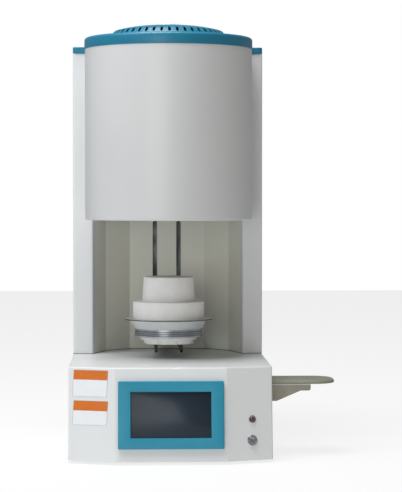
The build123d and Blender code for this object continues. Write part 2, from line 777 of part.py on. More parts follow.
def lead_nut():
    """Flanged bronze nut, up into the carriage from below."""
    body = ring(SCREW_R + RUN, NUT_R, ARM_Z, ARM_Z + NUT_H, 0, SCREW_Y)
    return body + ring(SCREW_R + RUN, NUT_FLANGE_R, ARM_Z - NUT_FLANGE_T, ARM_Z, 0, SCREW_Y)


def end_block(z, race_z):
    """A block across the lift frame that holds both rods and a screw bearing."""
    body = block(-BLOCK_HALF, BLOCK_HALF, CARRIAGE_Y, FRAME_Y, z, z + BLOCK_T)
    body -= rod(SCREW_R + HANG_GAP, z, z + BLOCK_T, 0, SCREW_Y)
    body -= rod(RACE_R + RUN, race_z, race_z + RACE_T, 0, SCREW_Y)
    for x in (-ROD_X, ROD_X):
        body -= rod(ROD_R + RUN, z, z + BLOCK_T, x, SCREW_Y)
    return body


def end_blocks():
    """The low and the top block."""
    low_race, top_race = race_places()
    low, top = end_block(LOW_BLOCK_Z, low_race), end_block(TOP_BLOCK_Z, top_race)
    return Compound([low.solid(), top.solid()])


def race_places():
    """Lower ends of the two screw bearings."""
    return (LOW_BLOCK_Z + BLOCK_T - RACE_T, TOP_BLOCK_Z)


def screw_bearings():
    """One plain bearing ring in each block."""
    rings = [ring(SCREW_R + RUN, RACE_R, z, z + RACE_T, 0, SCREW_Y) for z in race_places()]
    return Compound([one.solid() for one in rings])


def guide_rods():
    """Two ground rods from block to block."""
    low, top = LOW_BLOCK_Z, TOP_BLOCK_Z + BLOCK_T
    rods = [rod(ROD_R, low, top, x, SCREW_Y) for x in (-ROD_X, ROD_X)]
    return Compound([one.solid() for one in rods])


def lift_frame():
    """Channel that stands on the base pan behind the lift, bent forward at its foot."""
    top, back = TOP_BLOCK_Z + BLOCK_T, FRAME_Y + FRAME_T
    body = block(-FRAME_HALF, FRAME_HALF, FRAME_Y, back, PAN_TOP, top)
    for side in (-1, 1):
        edge = sorted((side * FRAME_HALF, side * (FRAME_HALF - FRAME_T)))
        body += block(edge[0], edge[1], FRAME_Y - FRAME_FLANGE, FRAME_Y, PAN_TOP, top)
    foot_front = FRAME_Y - FRAME_FOOT
    body += block(-FRAME_HALF, FRAME_HALF, foot_front, back, PAN_TOP, PAN_TOP + FRAME_T)
    return body


def lead_screw():
    """Screw from the coupling up through both blocks."""
    return rod(SCREW_R, COUPLING_Z + COUPLING_H / 2 + SHEET, TOP_BLOCK_Z + BLOCK_T, 0, SCREW_Y)


def motor_coupling():
    """Two-bore coupling with a clamping groove at each end."""
    middle, top = COUPLING_Z + COUPLING_H / 2, COUPLING_Z + COUPLING_H
    body = rod(COUPLING_R, COUPLING_Z, top, 0, SCREW_Y)
    body -= rod(MOTOR_SHAFT_R + RUN, COUPLING_Z, middle, 0, SCREW_Y)
    body -= rod(SCREW_R + RUN, middle, top, 0, SCREW_Y)
    for z in (COUPLING_Z + COUPLING_H / 4, top - COUPLING_H / 4):
        body -= ring(COUPLING_R - SHEET, COUPLING_R + SHEET, z - 1, z + 1, 0, SCREW_Y)
    return body


def motor_shaft():
    """Motor shaft from inside the motor into the coupling."""
    top = COUPLING_Z + COUPLING_H / 2 - SHEET
    return rod(MOTOR_SHAFT_R, MOTOR_TOP - MOTOR_SHAFT_IN, top, 0, SCREW_Y)


def lift_motor():
    """Square motor with a round pilot, bored for its shaft."""
    square = RectangleRounded(MOTOR_W, MOTOR_W, MOTOR_CORNER)
    body = Pos(0, SCREW_Y, MOTOR_TOP - MOTOR_H) * extrude(square, MOTOR_H)
    body += rod(MOTOR_PILOT_R, MOTOR_TOP, MOTOR_TOP + MOTOR_PILOT_H, 0, SCREW_Y)
    deep = MOTOR_TOP - MOTOR_SHAFT_IN - SHEET
    return body - rod(MOTOR_SHAFT_R + RUN, deep, MOTOR_TOP + MOTOR_PILOT_H, 0, SCREW_Y)


def motor_plate():
    """Plate off the lift frame that the motor hangs from."""
    low, half = MOTOR_TOP, MOTOR_PLATE_HALF
    front = SCREW_Y - MOTOR_W / 2
    body = block(-half, half, front, FRAME_Y, low, low + MOTOR_PLATE_T)
    return body - rod(MOTOR_PILOT_R + RUN, low, low + MOTOR_PLATE_T, 0, SCREW_Y)


# Controls
def screen_bezel():
    """Teal frame with a sloping window edge and a rebate for the glass."""
    body = Pos(0, 0, BEZEL_T / 2) * Box(BEZEL_W, BEZEL_H, BEZEL_T)
    body = chamfer(body.faces().sort_by(Axis.Z)[-1].edges(), BEZEL_CHAMFER)
    window_low = Rectangle(VIEW_W, VIEW_H)
    slope = BEZEL_T - GLASS_T
    window_high = Pos(0, 0, slope) * Rectangle(VIEW_W + slope, VIEW_H + slope)
    body -= Pos(0, 0, GLASS_T) * loft([window_low.face(), window_high.face()], ruled=True)
    rebate_w, rebate_h = VIEW_W + 2 * GLASS_RIM, VIEW_H + 2 * GLASS_RIM
    body -= Pos(0, 0, GLASS_T / 2) * Box(rebate_w, rebate_h, GLASS_T)
    return on(panel_plane(BEZEL_MID_Z), body)


def screen_glass():
    """Display glass, in the bezel's rebate."""
    inset = 2 * GLASS_RIM - 2 * AIR
    body = Box(VIEW_W + inset, VIEW_H + inset, GLASS_T)
    return on(panel_plane(BEZEL_MID_Z), Pos(0, 0, GLASS_T / 2) * body)


def screen_housing():
    """The display's case behind the panel, with its connector step."""
    body = Pos(0, 0, -HOUSING_T / 2) * Box(HOUSING_W, HOUSING_H, HOUSING_T)
    body = fillet(body.faces().sort_by(Axis.Z)[0].edges(), BEND_R)
    body -= Pos(0, -HOUSING_H / 2, -HOUSING_T) * Box(HOUSING_W / 2, HOUSING_T, HOUSING_T)
    return on(panel_plane(BEZEL_MID_Z), body)


def threaded_ring(ring_r, barrel_r, bore_r, length):
    """A panel fitting: chamfered front ring and a barrel through the sheet."""
    body = Pos(0, 0, RING_T / 2) * Cylinder(ring_r, RING_T)
    body = chamfer(body.edges().sort_by(Axis.Z)[-1], RING_T / 2)
    body += Pos(0, 0, -length / 2) * Cylinder(barrel_r, length)
    return body - Pos(0, 0, -length / 2 + RING_T) * Cylinder(bore_r, length)


def lamp_bezel():
    """Ring and barrel of the indicator lamp."""
    body = threaded_ring(LAMP_RING_R, LAMP_BARREL_R, LAMP_LENS_R + AIR, LAMP_BARREL_L)
    return on(facet_plane(FACET_U, LAMP_Z), body)


def lamp_lens():
    """Red lens with a low dome, seated in the barrel."""
    low = RING_T - LAMP_BARREL_L
    body = Pos(0, 0, low / 2) * Cylinder(LAMP_LENS_R, -low)
    dome = Sphere(LAMP_LENS_R) & Pos(0, 0, LAMP_LENS_R / 2) * Box(20, 20, LAMP_LENS_R)
    return on(facet_plane(FACET_U, LAMP_Z), body + dome)


def button_body():
    """Metal ring and barrel of the push button."""
    body = threaded_ring(BUTTON_RING_R, BUTTON_BARREL_R, BUTTON_CAP_R + AIR, BUTTON_BARREL_L)
    return on(facet_plane(FACET_U, BUTTON_Z), body)


def button_cap():
    """The travelling cap, dished on its face."""
    low = BUTTON_PROUD - BUTTON_CAP_L
    body = Pos(0, 0, (BUTTON_PROUD + low) / 2) * Cylinder(BUTTON_CAP_R, BUTTON_CAP_L)
    body = fillet(body.edges().sort_by(Axis.Z)[-1], AIR * 2)
    dish_r = 3 * BUTTON_CAP_R
    body -= Pos(0, 0, BUTTON_PROUD + dish_r - AIR * 2) * Sphere(dish_r)
    return on(facet_plane(FACET_U, BUTTON_Z), body)


def panel_nuts():
    """Nuts behind the facet, one on each barrel."""
    lamp = hex_nut(LAMP_BARREL_R + RUN, LAMP_BARREL_R + NUT_MARGIN)
    button = hex_nut(BUTTON_BARREL_R + RUN, BUTTON_BARREL_R + NUT_MARGIN)
    pieces = [on(facet_plane(FACET_U, LAMP_Z), lamp), on(facet_plane(FACET_U, BUTTON_Z), button)]
    return Compound([one.solid() for one in pieces])


# Side tray
def side_tray():
    """Flat tray with a nearly half-round outer end and rounded rims."""
    outline = Rectangle(TRAY_REACH, TRAY_DEPTH, align=(Align.MIN, Align.CENTER))
    outline = fillet(outline.vertices().sort_by(Axis.X)[-2:], TRAY_END_R)
    body = extrude(outline, TRAY_T)
    outer = [e for e in body.edges() if e.center().X > AIR]
    body = fillet([e for e in outer if e.center().Z > TRAY_T - AIR], TRAY_EDGE_R)
    outer = [e for e in body.edges() if e.center().X > AIR]
    body = fillet([e for e in outer if e.center().Z < AIR], TRAY_FOOT_R)
    return Pos(BASE_W / 2, TRAY_MID_Y, TRAY_TOP_Z - TRAY_T) * body


def tray_support():
    """Thin plate under the tray, on the bracket."""
    depth = TRAY_DEPTH - 2 * SUPPORT_MARGIN
    outline = Rectangle(SUPPORT_REACH, depth, align=(Align.MIN, Align.CENTER))
    outline = fillet(outline.vertices().sort_by(Axis.X)[-2:], SUPPORT_MARGIN)
    low = TRAY_TOP_Z - TRAY_T - SUPPORT_T
    return Pos(BASE_W / 2, TRAY_MID_Y, low) * extrude(outline, SUPPORT_T)


def tray_bracket():
    """Two tapering webs on a root plate that is screwed to the base's side."""
    top = TRAY_TOP_Z - TRAY_T - SUPPORT_T
    low, tip_low = top - BRACKET_ROOT_H, top - BRACKET_TIP_H
    side = BASE_W / 2
    reach = side + SUPPORT_REACH
    points = [(side, top), (reach, top), (reach, tip_low), (reach - BRACKET_TIP_L, tip_low)]
    points += [(side + BRACKET_ROOT_L, low), (side, low)]
    outline = make_face(Plane.XZ * Polyline(*points, close=True))
    web = extrude(outline, BRACKET_WEB_T, dir=(0, 1, 0))
    tip_edges = web.edges().filter_by(Axis.Y).sort_by(Axis.X)[-2:].sort_by(Axis.Z)
    web = fillet(tip_edges[0], BRACKET_TIP_H / 3)
    depth = TRAY_DEPTH - 2 * SUPPORT_MARGIN - 2 * BRACKET_WEB_T
    front = TRAY_MID_Y - depth / 2
    body = block(side, side + BRACKET_WEB_T, front, front + depth, low, top)
    body += block(side, reach - BRACKET_TIP_L, front, front + depth, top - SHEET, top)
    for y in (front, front + depth - BRACKET_WEB_T):
        body += Pos(0, y, 0) * web
    return body


# Fan and electrics
def fan_plane():
    """The fan's inner end, with local z towards the rear cover."""
    origin = (FAN_X, REAR_IN - FAN_T, FAN_Z)
    return Plane(origin, x_dir=(1, 0, 0), z_dir=(0, 1, 0))


def fan_frame():
    """Square frame with a four-armed spider and the pin's boss."""
    body = extrude(RectangleRounded(FAN_W, FAN_W, BEND_R) - Circle(FAN_BORE_R), FAN_T)
    arms = Rectangle(2 * FAN_BORE_R + 1, 6) + Rectangle(6, 2 * FAN_BORE_R + 1)
    spider = Rot(0, 0, 45) * arms + Circle(FAN_HUB_R)
    body += extrude(spider, FAN_SPIDER_T)
    body += Pos(0, 0, FAN_BOSS_H / 2) * Cylinder(2.5 * FAN_PIN_R, FAN_BOSS_H)
    body -= Pos(0, 0, FAN_BOSS_H / 2) * Cylinder(FAN_PIN_R + RUN, 2 * FAN_BOSS_H)
    return on(fan_plane(), body)


def fan_rotor():
    """Hub, pin and pitched blades."""
    low = FAN_BOSS_H + AIR
    high = FAN_T - FAN_SPIDER_T
    middle = (low + high) / 2
    body = Pos(0, 0, middle) * Cylinder(FAN_HUB_R, high - low)
    body += Pos(0, 0, middle / 2) * Cylinder(FAN_PIN_R, middle)
    reach = FAN_BORE_R - FAN_BLADE_GAP
    chord = (high - low) / math.sin(math.radians(90 - FAN_BLADE_PITCH))
    tube = extrude(Circle(reach) - Circle(FAN_HUB_R - SHEET), high - low)
    blade = Pos(reach / 2, 0, 0) * Rot(FAN_BLADE_PITCH, 0, 0) * Box(reach, SHEET, chord)
    blade = blade & Pos(0, 0, -(high - low) / 2) * tube
    for i in range(FAN_BLADES):
        body += Rot(0, 0, 360 * i / FAN_BLADES) * Pos(0, 0, middle) * blade
    return on(fan_plane(), body)


def fan_guard():
    """Wire rings on four posts, outside the rear cover."""
    post_r = FAN_W / 2 * math.sqrt(2) - 2 * BEND_R
    wires = [Torus(share * FAN_W, GUARD_WIRE_R) for share in (0.15, 0.27, 0.39, 0.51)]
    body = wires[0] + wires[1:]
    post = Pos(post_r, 0, -GUARD_STAND / 2) * Cylinder(2 * GUARD_WIRE_R, GUARD_STAND)
    for i in range(4):
        spoke = Pos(post_r / 2, 0, 0) * Rot(0, 90, 0) * Cylinder(GUARD_WIRE_R, post_r)
        body += Rot(0, 0, 45 + 90 * i) * (spoke + post)
    place = Plane((FAN_X, TOWER_D + GUARD_STAND, FAN_Z), x_dir=(1, 0, 0), z_dir=(0, 1, 0))
    return on(place, body)


def cable_gland():
    """Cord gland through the rear cover: hexagon, dome nut and inner nut."""
    hexagon = extrude(RegularPolygon(GLAND_HEX_R, 6), 6)
    body = hexagon + Pos(0, 0, 12) * Cone(GLAND_HEX_R - 2, CORD_HOLE_R + 3, 12)
    body += Pos(0, 0, -6) * Cylinder(GLAND_R, 12)
    body += Pos(0, 0, -SHEET - 2 * NUT_T) * extrude(RegularPolygon(GLAND_HEX_R, 6), NUT_T + NUT_T)
    body -= Cylinder(CORD_HOLE_R, 60)
    place = Plane((GLAND_X, TOWER_D, GLAND_Z), x_dir=(1, 0, 0), z_dir=(0, 1, 0))
    return on(place, body)


def transformer():
    """Laminated core on feet, with the winding round its middle leg."""
    half, deep, top = CORE_W / 2, CORE_T / 2, CORE_FEET_T + CORE_H
    low, high = CORE_FEET_T + CORE_LEG, top - CORE_LEG
    core = block(-half, half, -deep, deep, CORE_FEET_T, top)
    core += block(-half, half, -CORE_FEET_W / 2, CORE_FEET_W / 2, 0, CORE_FEET_T)
    for side in (-1, 1):
        edge = sorted((side * CORE_LEG, side * (half - CORE_LEG)))
        core -= block(edge[0], edge[1], -deep, deep, low, high)
    wide, out = half - CORE_LEG - COIL_GAP, deep + COIL_OUT
    coil = block(-wide, wide, -out, out, low, high - COIL_GAP)
    coil = fillet(coil.edges().filter_by(Axis.Z), COIL_R)
    coil -= block(-CORE_LEG - AIR, CORE_LEG + AIR, -deep - AIR, deep + AIR, low, high)
    place = Pos(TRANSFORMER_X, TRANSFORMER_Y, PAN_TOP)
    return Compound([(place * core).solid(), (place * coil).solid()])


def power_controller():
    """Finned heat sink with the power module on top."""
    half, deep, top = SINK_W / 2, SINK_L / 2, SINK_H + SINK_PLATE_T
    body = block(-half, half, -deep, deep, SINK_H, top)
    first, step = SINK_FIN_T - half, (SINK_W - 2 * SINK_FIN_T) / (SINK_FINS - 1)
    thin = SINK_FIN_T / 2
    middles = [first + step * i for i in range(SINK_FINS)]
    body += [block(x - thin, x + thin, -deep, deep, 0, SINK_H) for x in middles]
    body += block(-MODULE_W / 2, MODULE_W / 2, -MODULE_L / 2, MODULE_L / 2, top, top + MODULE_H)
    return Pos(CONTROLLER_X, CONTROLLER_Y, PAN_TOP) * body


def control_board():
    """Circuit board on four posts, with its larger components."""
    half, deep, top = BOARD_W / 2, BOARD_L / 2, BOARD_POST_H + BOARD_T
    body = block(-half, half, -deep, deep, BOARD_POST_H, top)
    post_x, post_y = half - 2 * BOARD_POST_R, deep - 2 * BOARD_POST_R
    for x in (-post_x, post_x):
        body += [rod(BOARD_POST_R, 0, BOARD_POST_H, x, y) for y in (-post_y, post_y)]
    relay, row, chip = (-0.86, -0.28, 0.44, 0.84, 1.2), (0, 0.72, 0.48, 0.84, 0.9), (-0.14, 0.2, -0.3, 0.2, 0.3)
    for x0, x1, y0, y1, tall in (relay, row, chip):
        high = top + tall * BOARD_POST_H
        body += block(x0 * half, x1 * half, y0 * deep, y1 * deep, top, high)
    body += rod(BOARD_CAN_R, top, top + 2 * BOARD_POST_H, half * 0.6, -deep * 0.2)
    return Pos(0, BOARD_Y, PAN_TOP) * body


# All pieces, each under its own name
def build_pieces():
    """Make every piece, keyed by the name of its file."""
    column = right_column()
    return {
        "base_shell": base_shell(),
        "base_pan": base_pan(),
        "rubber_feet": rubber_feet(),
        "right_column": column,
        "left_column": mirror(column, about=Plane.YZ),
        "alcove_panel": alcove_panel(),
        "rear_cover": rear_cover(),
        "tower_cap": tower_cap(),
        "drum_shell": drum_shell(),
        "drum_lid": drum_lid(),
        "vent_grille": vent_grille(),
        "crown_cap": crown_cap(),
        "drum_saddles": drum_saddles(),
        "mouth_plate": ring(MOUTH_R, WOOL_R, MOUTH_PLATE_Z, FLOOR_WOOL_Z),
        "floor_wool": ring(MOUTH_R, WOOL_R, FLOOR_WOOL_Z, CHAMBER_Z),
        "wall_wool": ring(CHAMBER_D / 2, WOOL_R, CHAMBER_Z, ROOF_Z),
        "roof_wool": roof_wool(),
        "heating_elements": heating_elements(),
        "element_holders": element_holders(),
        "terminal_links": terminal_links(),
        "thermocouple": thermocouple(),
        "hearth_pedestal": pedestal(),
        "hearth_base": hearth_base(),
        "hearth_flange": ring(FLANGE_BORE_R, FLANGE_D / 2, FLANGE_Z, HEARTH_Z),
        "hearth_dish": hearth_dish(),
        "ribbed_ring": ribbed_ring(),
        "hearth_collar": ring(TABLE_BORE_R, COLLAR_R, COLLAR_Z, RIB_Z),
        "hearth_table": hearth_table(),
        "lift_arms": lift_arms(),
        "carriage": carriage(),
        "linear_bearings": linear_bearings(),
        "lead_nut": lead_nut(),
        "end_blocks": end_blocks(),
        "screw_bearings": screw_bearings(),
        "guide_rods": guide_rods(),
        "lift_frame": lift_frame(),
        "lead_screw": lead_screw(),
        "motor_coupling": motor_coupling(),
        "motor_shaft": motor_shaft(),
        "lift_motor": lift_motor(),
        "motor_plate": motor_plate(),
        "screen_bezel": screen_bezel(),
        "screen_glass": screen_glass(),
        "screen_housing": screen_housing(),
        "lamp_bezel": lamp_bezel(),
        "lamp_lens": lamp_lens(),
        "button_body": button_body(),
        "button_cap": button_cap(),
        "panel_nuts": panel_nuts(),
        "side_tray": side_tray(),
        "tray_support": tray_support(),
        "tray_bracket": tray_bracket(),
        "fan_frame": fan_frame(),
        "fan_rotor": fan_rotor(),
        "fan_guard": fan_guard(),
        "cable_gland": cable_gland(),
        "transformer": transformer(),
        "power_controller": power_controller(),
        "control_board": control_board(),
    }


def shift_to_middle(pieces):
    """The move that puts the origin under the middle of the whole box."""
    boxes = [shape.bounding_box() for shape in pieces.values()]
    left, right = min(b.min.X for b in boxes), max(b.max.X for b in boxes)
    front, rear = min(b.min.Y for b in boxes), max(b.max.Y for b in boxes)
    return Pos(-(left + right) / 2, -(front + rear) / 2, 0)


pieces = build_pieces()
shift = shift_to_middle(pieces)
os.makedirs("parts", exist_ok=True)
for name, shape in pieces.items():
    export_step(shift * shape, f"parts/{name}.step")
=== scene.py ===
import math

import bmesh
import bpy
from mathutils import Matrix, Vector


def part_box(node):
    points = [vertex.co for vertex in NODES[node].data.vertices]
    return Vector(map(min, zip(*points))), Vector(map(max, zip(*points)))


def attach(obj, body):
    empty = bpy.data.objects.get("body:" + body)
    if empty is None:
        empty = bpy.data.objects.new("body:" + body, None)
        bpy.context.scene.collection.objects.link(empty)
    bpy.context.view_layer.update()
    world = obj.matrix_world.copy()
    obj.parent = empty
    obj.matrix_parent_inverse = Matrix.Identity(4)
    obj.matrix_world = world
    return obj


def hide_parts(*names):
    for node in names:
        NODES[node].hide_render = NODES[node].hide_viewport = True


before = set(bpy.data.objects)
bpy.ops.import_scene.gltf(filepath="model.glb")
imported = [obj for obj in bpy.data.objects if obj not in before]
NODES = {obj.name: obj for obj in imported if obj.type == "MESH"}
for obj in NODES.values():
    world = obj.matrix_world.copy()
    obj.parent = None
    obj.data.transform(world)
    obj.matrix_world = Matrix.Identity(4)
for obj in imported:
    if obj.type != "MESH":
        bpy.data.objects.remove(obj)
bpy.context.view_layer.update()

MM = 0.001
TINY = 0.00002
WELD = TINY / 10
FULL_TURN = 2 * math.pi
EVEN = (1.0, 1.0, 1.0)
ORIGIN = Vector((0, 0, 0))


# Places read from the frame: the tower's middle, its columns' front and the drum's axis
def middle(node):
    """The centre of a node's box."""
    low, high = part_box(node)
    return (low + high) / 2


TOWER_X = middle("base_shell").x
FACE_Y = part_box("right_column")[0].y
AXIS = Vector((middle("drum_shell").x, middle("drum_shell").y, 0))


def at(x, y, z):
    """A point in millimetres from the tower's middle, its columns' faces and the table."""
    return Vector((TOWER_X + x * MM, FACE_Y + y * MM, z * MM))


def new_object(name, data):
    """An object of the scene that holds a mesh, a lamp or a camera."""
    made = bpy.data.objects.new(name, data)
    bpy.context.scene.collection.objects.link(made)
    return made


# Camera: a long lens a little left of the furnace, just above its middle
CAMERA_AT = at(-72, -3845, 532)
CAMERA_YAW = 2.13
CAMERA_PITCH = -1.69
CAMERA_REACH = 30
SENSOR = 36
FOCAL_PX = 1800
PHOTO_HEIGHT_PX = 492


def make_camera():
    """The photograph's viewpoint and angle."""
    data = bpy.data.cameras.new("studio_camera")
    data.sensor_width = SENSOR
    data.lens = SENSOR * FOCAL_PX / PHOTO_HEIGHT_PX
    data.clip_end = CAMERA_REACH
    camera = new_object("studio_camera", data)
    camera.location = CAMERA_AT
    camera.rotation_euler = (math.radians(90 + CAMERA_PITCH), 0, math.radians(-CAMERA_YAW))
    bpy.context.scene.camera = camera
    bpy.context.scene.view_settings.view_transform = "Standard"


# Node helpers
MIX_FIRST, MIX_SECOND, MIX_RESULT = 6, 7, 2
NOISE_RANGE = (0.3, 0.7)


def feed(tree, socket, value):
    """Set a socket to a plain value, or link it to another socket."""
    if isinstance(value, bpy.types.NodeSocket):
        tree.links.new(value, socket)
    else:
        socket.default_value = value


def maths(tree, operation, first, second):
    """A Math node of two inputs, each a socket or a number."""
    made = tree.nodes.new("ShaderNodeMath")
    made.operation = operation
    feed(tree, made.inputs[0], first)
    feed(tree, made.inputs[1], second)
    return made.outputs[0]


def vector_maths(tree, operation, first, second):
    """A Vector Math node of two inputs, each a socket or three numbers."""
    made = tree.nodes.new("ShaderNodeVectorMath")
    made.operation = operation
    feed(tree, made.inputs[0], first)
    feed(tree, made.inputs[1], second)
    return made


def stretched_noise(tree, stretch, size, detail):
    """Noise on the object's own coordinates, stretched, with features about 1/size metres wide."""
    place = tree.nodes.new("ShaderNodeTexCoord")
    scaled = vector_maths(tree, "MULTIPLY", place.outputs["Object"], stretch)
    noise = tree.nodes.new("ShaderNodeTexNoise")
    tree.links.new(scaled.outputs[0], noise.inputs["Vector"])
    feed(tree, noise.inputs["Scale"], size)
    noise.inputs["Detail"].default_value = detail
    return noise.outputs["Fac"]


def map_range(tree, value, source, target, kind="LINEAR"):
    """Map one range onto another, with each end a socket or a number."""
    ranged = tree.nodes.new("ShaderNodeMapRange")
    ranged.interpolation_type = kind
    tree.links.new(value, ranged.inputs["Value"])
    for name, end in zip(("From Min", "From Max", "To Min", "To Max"), (*source, *target)):
        feed(tree, ranged.inputs[name], end)
    return ranged.outputs["Result"]


def mix_colour(tree, share, first, second):
    """A colour mix; each colour is a socket or four numbers."""
    mixed = tree.nodes.new("ShaderNodeMix")
    mixed.data_type = "RGBA"
    feed(tree, mixed.inputs["Factor"], share)
    feed(tree, mixed.inputs[MIX_FIRST], first)
    feed(tree, mixed.inputs[MIX_SECOND], second)
    return mixed.outputs[MIX_RESULT]


def mix_shaders(tree, share, first, second):
    """A mix of two shaders by a share, all sockets."""
    mixed = tree.nodes.new("ShaderNodeMixShader")
    for socket, value in zip(mixed.inputs, (share, first, second)):
        tree.links.new(value, socket)
    return mixed.outputs[0]


def background(tree, colour, strength):
    """A plain background shader."""
    made = tree.nodes.new("ShaderNodeBackground")
    made.inputs["Color"].default_value = (*colour, 1)
    made.inputs["Strength"].default_value = strength
    return made.outputs[0]


# Light: a strong soft lamp nearly overhead, weaker ones high on the left and low in front, and an even room
AIM = at(0, -60, 420)
ROOM_COLOUR = (1.0, 0.965, 0.89)
ROOM_STRENGTH = 0.21
GLOSS_COLOUR = (0.92, 0.96, 1.0)
GLOSS_STRENGTH = 0.3


def area_light(name, place, size, power, colour):
    """A square soft lamp that looks at the furnace."""
    data = bpy.data.lights.new(name, "AREA")
    data.shape = "SQUARE"
    data.size = size
    data.energy = power
    data.color = colour
    lamp = new_object(name, data)
    lamp.location = place
    lamp.rotation_mode = "QUATERNION"
    lamp.rotation_quaternion = (AIM - place).to_track_quat("-Z", "Y")


def make_world():
    """White to the camera and through glass, a cool grey in gloss, and a dimmer warm grey as light."""
    world = bpy.data.worlds.new("studio_room")
    bpy.context.scene.world = world
    world.use_nodes = True
    tree = world.node_tree
    tree.nodes.clear()
    rays = tree.nodes.new("ShaderNodeLightPath")
    room = background(tree, ROOM_COLOUR, ROOM_STRENGTH)
    gloss = background(tree, GLOSS_COLOUR, GLOSS_STRENGTH)
    white = background(tree, EVEN, 1)
    unseen = mix_shaders(tree, rays.outputs["Is Glossy Ray"], room, gloss)
    seen = maths(tree, "MAXIMUM", rays.outputs["Is Camera Ray"], rays.outputs["Is Transmission Ray"])
    out = tree.nodes.new("ShaderNodeOutputWorld")
    tree.links.new(mix_shaders(tree, seen, unseen, white), out.inputs["Surface"])


make_camera()
area_light("key_lamp", at(-2100, -1250, 2500), size=1.2, power=26, colour=(0.82, 0.91, 1.0))
area_light("top_lamp", at(-500, -700, 3100), size=1.5, power=76, colour=(1.0, 0.99, 0.97))
area_light("low_lamp", at(-900, -3300, 350), size=1.6, power=22, colour=(0.98, 1.0, 0.96))
make_world()


# Shader groups
RELIEF_HEIGHT = 0.0004
GLOSS_PATCHES = 35.0
TONE_STRETCH = (1.0, 1.0, 0.7)
SPECK_SIZE = 260.0
SPECK_LEVEL = 0.74
SCRATCH_SIZE = 60.0
SCRATCH_LEVEL = 0.5
SCRATCH_WIDTH = 0.004
SCRATCH_PATCHES = 14.0
SCRATCH_PATCH_LEVEL = 0.6


def new_group(name, takes, gives):
    """An empty node group with named inputs and outputs."""
    group = bpy.data.node_groups.new(name, "ShaderNodeTree")
    for way, sockets in (("INPUT", takes), ("OUTPUT", gives)):
        for label, kind in sockets.items():
            group.interface.new_socket(label, in_out=way, socket_type=f"NodeSocket{kind}")
    return group, group.nodes.new("NodeGroupInput"), group.nodes.new("NodeGroupOutput")


def make_grain_group():
    """Fine relief and an uneven gloss."""
    takes = {"Stretch": "Vector", "Size": "Float", "Depth": "Float", "Gloss low": "Float",
             "Gloss high": "Float"}
    group, inside, out = new_group("surface_grain", takes, {"Normal": "Vector", "Roughness": "Float"})
    fine = stretched_noise(group, inside.outputs["Stretch"], inside.outputs["Size"], 2.0)
    bump = group.nodes.new("ShaderNodeBump")
    bump.inputs["Distance"].default_value = RELIEF_HEIGHT
    group.links.new(inside.outputs["Depth"], bump.inputs["Strength"])
    group.links.new(fine, bump.inputs["Height"])
    group.links.new(bump.outputs["Normal"], out.inputs["Normal"])
    broad = stretched_noise(group, inside.outputs["Stretch"], GLOSS_PATCHES, 4.0)
    ends = (inside.outputs["Gloss low"], inside.outputs["Gloss high"])
    group.links.new(map_range(group, broad, NOISE_RANGE, ends), out.inputs["Roughness"])
    return group


def make_tone_group():
    """A colour that drifts slowly towards a second one, with a few small specks."""
    takes = {"Colour": "Color", "Drift colour": "Color", "Drift": "Float", "Size": "Float",
             "Speck colour": "Color", "Specks": "Float"}
    group, inside, out = new_group("surface_tone", takes, {"Colour": "Color"})
    broad = stretched_noise(group, TONE_STRETCH, inside.outputs["Size"], 4.0)
    share = map_range(group, broad, NOISE_RANGE, (0.0, inside.outputs["Drift"]))
    drifted = mix_colour(group, share, inside.outputs["Colour"], inside.outputs["Drift colour"])
    rare = maths(group, "GREATER_THAN", stretched_noise(group, EVEN, SPECK_SIZE, 1.0), SPECK_LEVEL)
    speck = maths(group, "MULTIPLY", rare, inside.outputs["Specks"])
    speckled = mix_colour(group, speck, drifted, inside.outputs["Speck colour"])
    group.links.new(speckled, out.inputs["Colour"])
    return group


def make_scuff_group():
    """A mask of sparse fine scratches that run mostly one way."""
    takes = {"Amount": "Float", "Along": "Vector"}
    group, inside, out = new_group("surface_scuffs", takes, {"Mask": "Float"})
    lines = stretched_noise(group, inside.outputs["Along"], SCRATCH_SIZE, 6.0)
    thin = maths(group, "COMPARE", lines, SCRATCH_LEVEL)
    thin.node.inputs[2].default_value = SCRATCH_WIDTH
    patches = stretched_noise(group, EVEN, SCRATCH_PATCHES, 2.0)
    near = maths(group, "GREATER_THAN", patches, SCRATCH_PATCH_LEVEL)
    both = maths(group, "MULTIPLY", thin, near)
    group.links.new(maths(group, "MULTIPLY", both, inside.outputs["Amount"]), out.inputs["Mask"])
    return group


GRAIN = make_grain_group()
TONE = make_tone_group()
SCUFF = make_scuff_group()


# Finishes
def paint(red, green, blue):
    """A colour as it is seen on a screen, from 0 to 255, made linear."""
    seen = [v / 255 for v in (red, green, blue)]
    linear = [v / 12.92 if v <= 0.04045 else ((v + 0.055) / 1.055) ** 2.4 for v in seen]
    return (*linear, 1)


def new_material(name):
    """A material with its node tree and its main shader."""
    material = bpy.data.materials.new(name)
    material.use_nodes = True
    return material, material.node_tree, material.node_tree.nodes["Principled BSDF"]


def use_group(tree, group, values):
    """A shared group in a material, with this material's own values."""
    used = tree.nodes.new("ShaderNodeGroup")
    used.node_tree = group
    for label, value in values.items():
        used.inputs[label].default_value = value
    return used


def add_relief(tree, shader, stretch, grain, depth, gloss):
    """Give a shader its relief, and hand back its uneven roughness."""
    values = {"Stretch": stretch, "Size": grain, "Depth": depth, "Gloss low": gloss[0],
              "Gloss high": gloss[1]}
    relief = use_group(tree, GRAIN, values)
    tree.links.new(relief.outputs["Normal"], shader.inputs["Normal"])
    return relief.outputs["Roughness"]


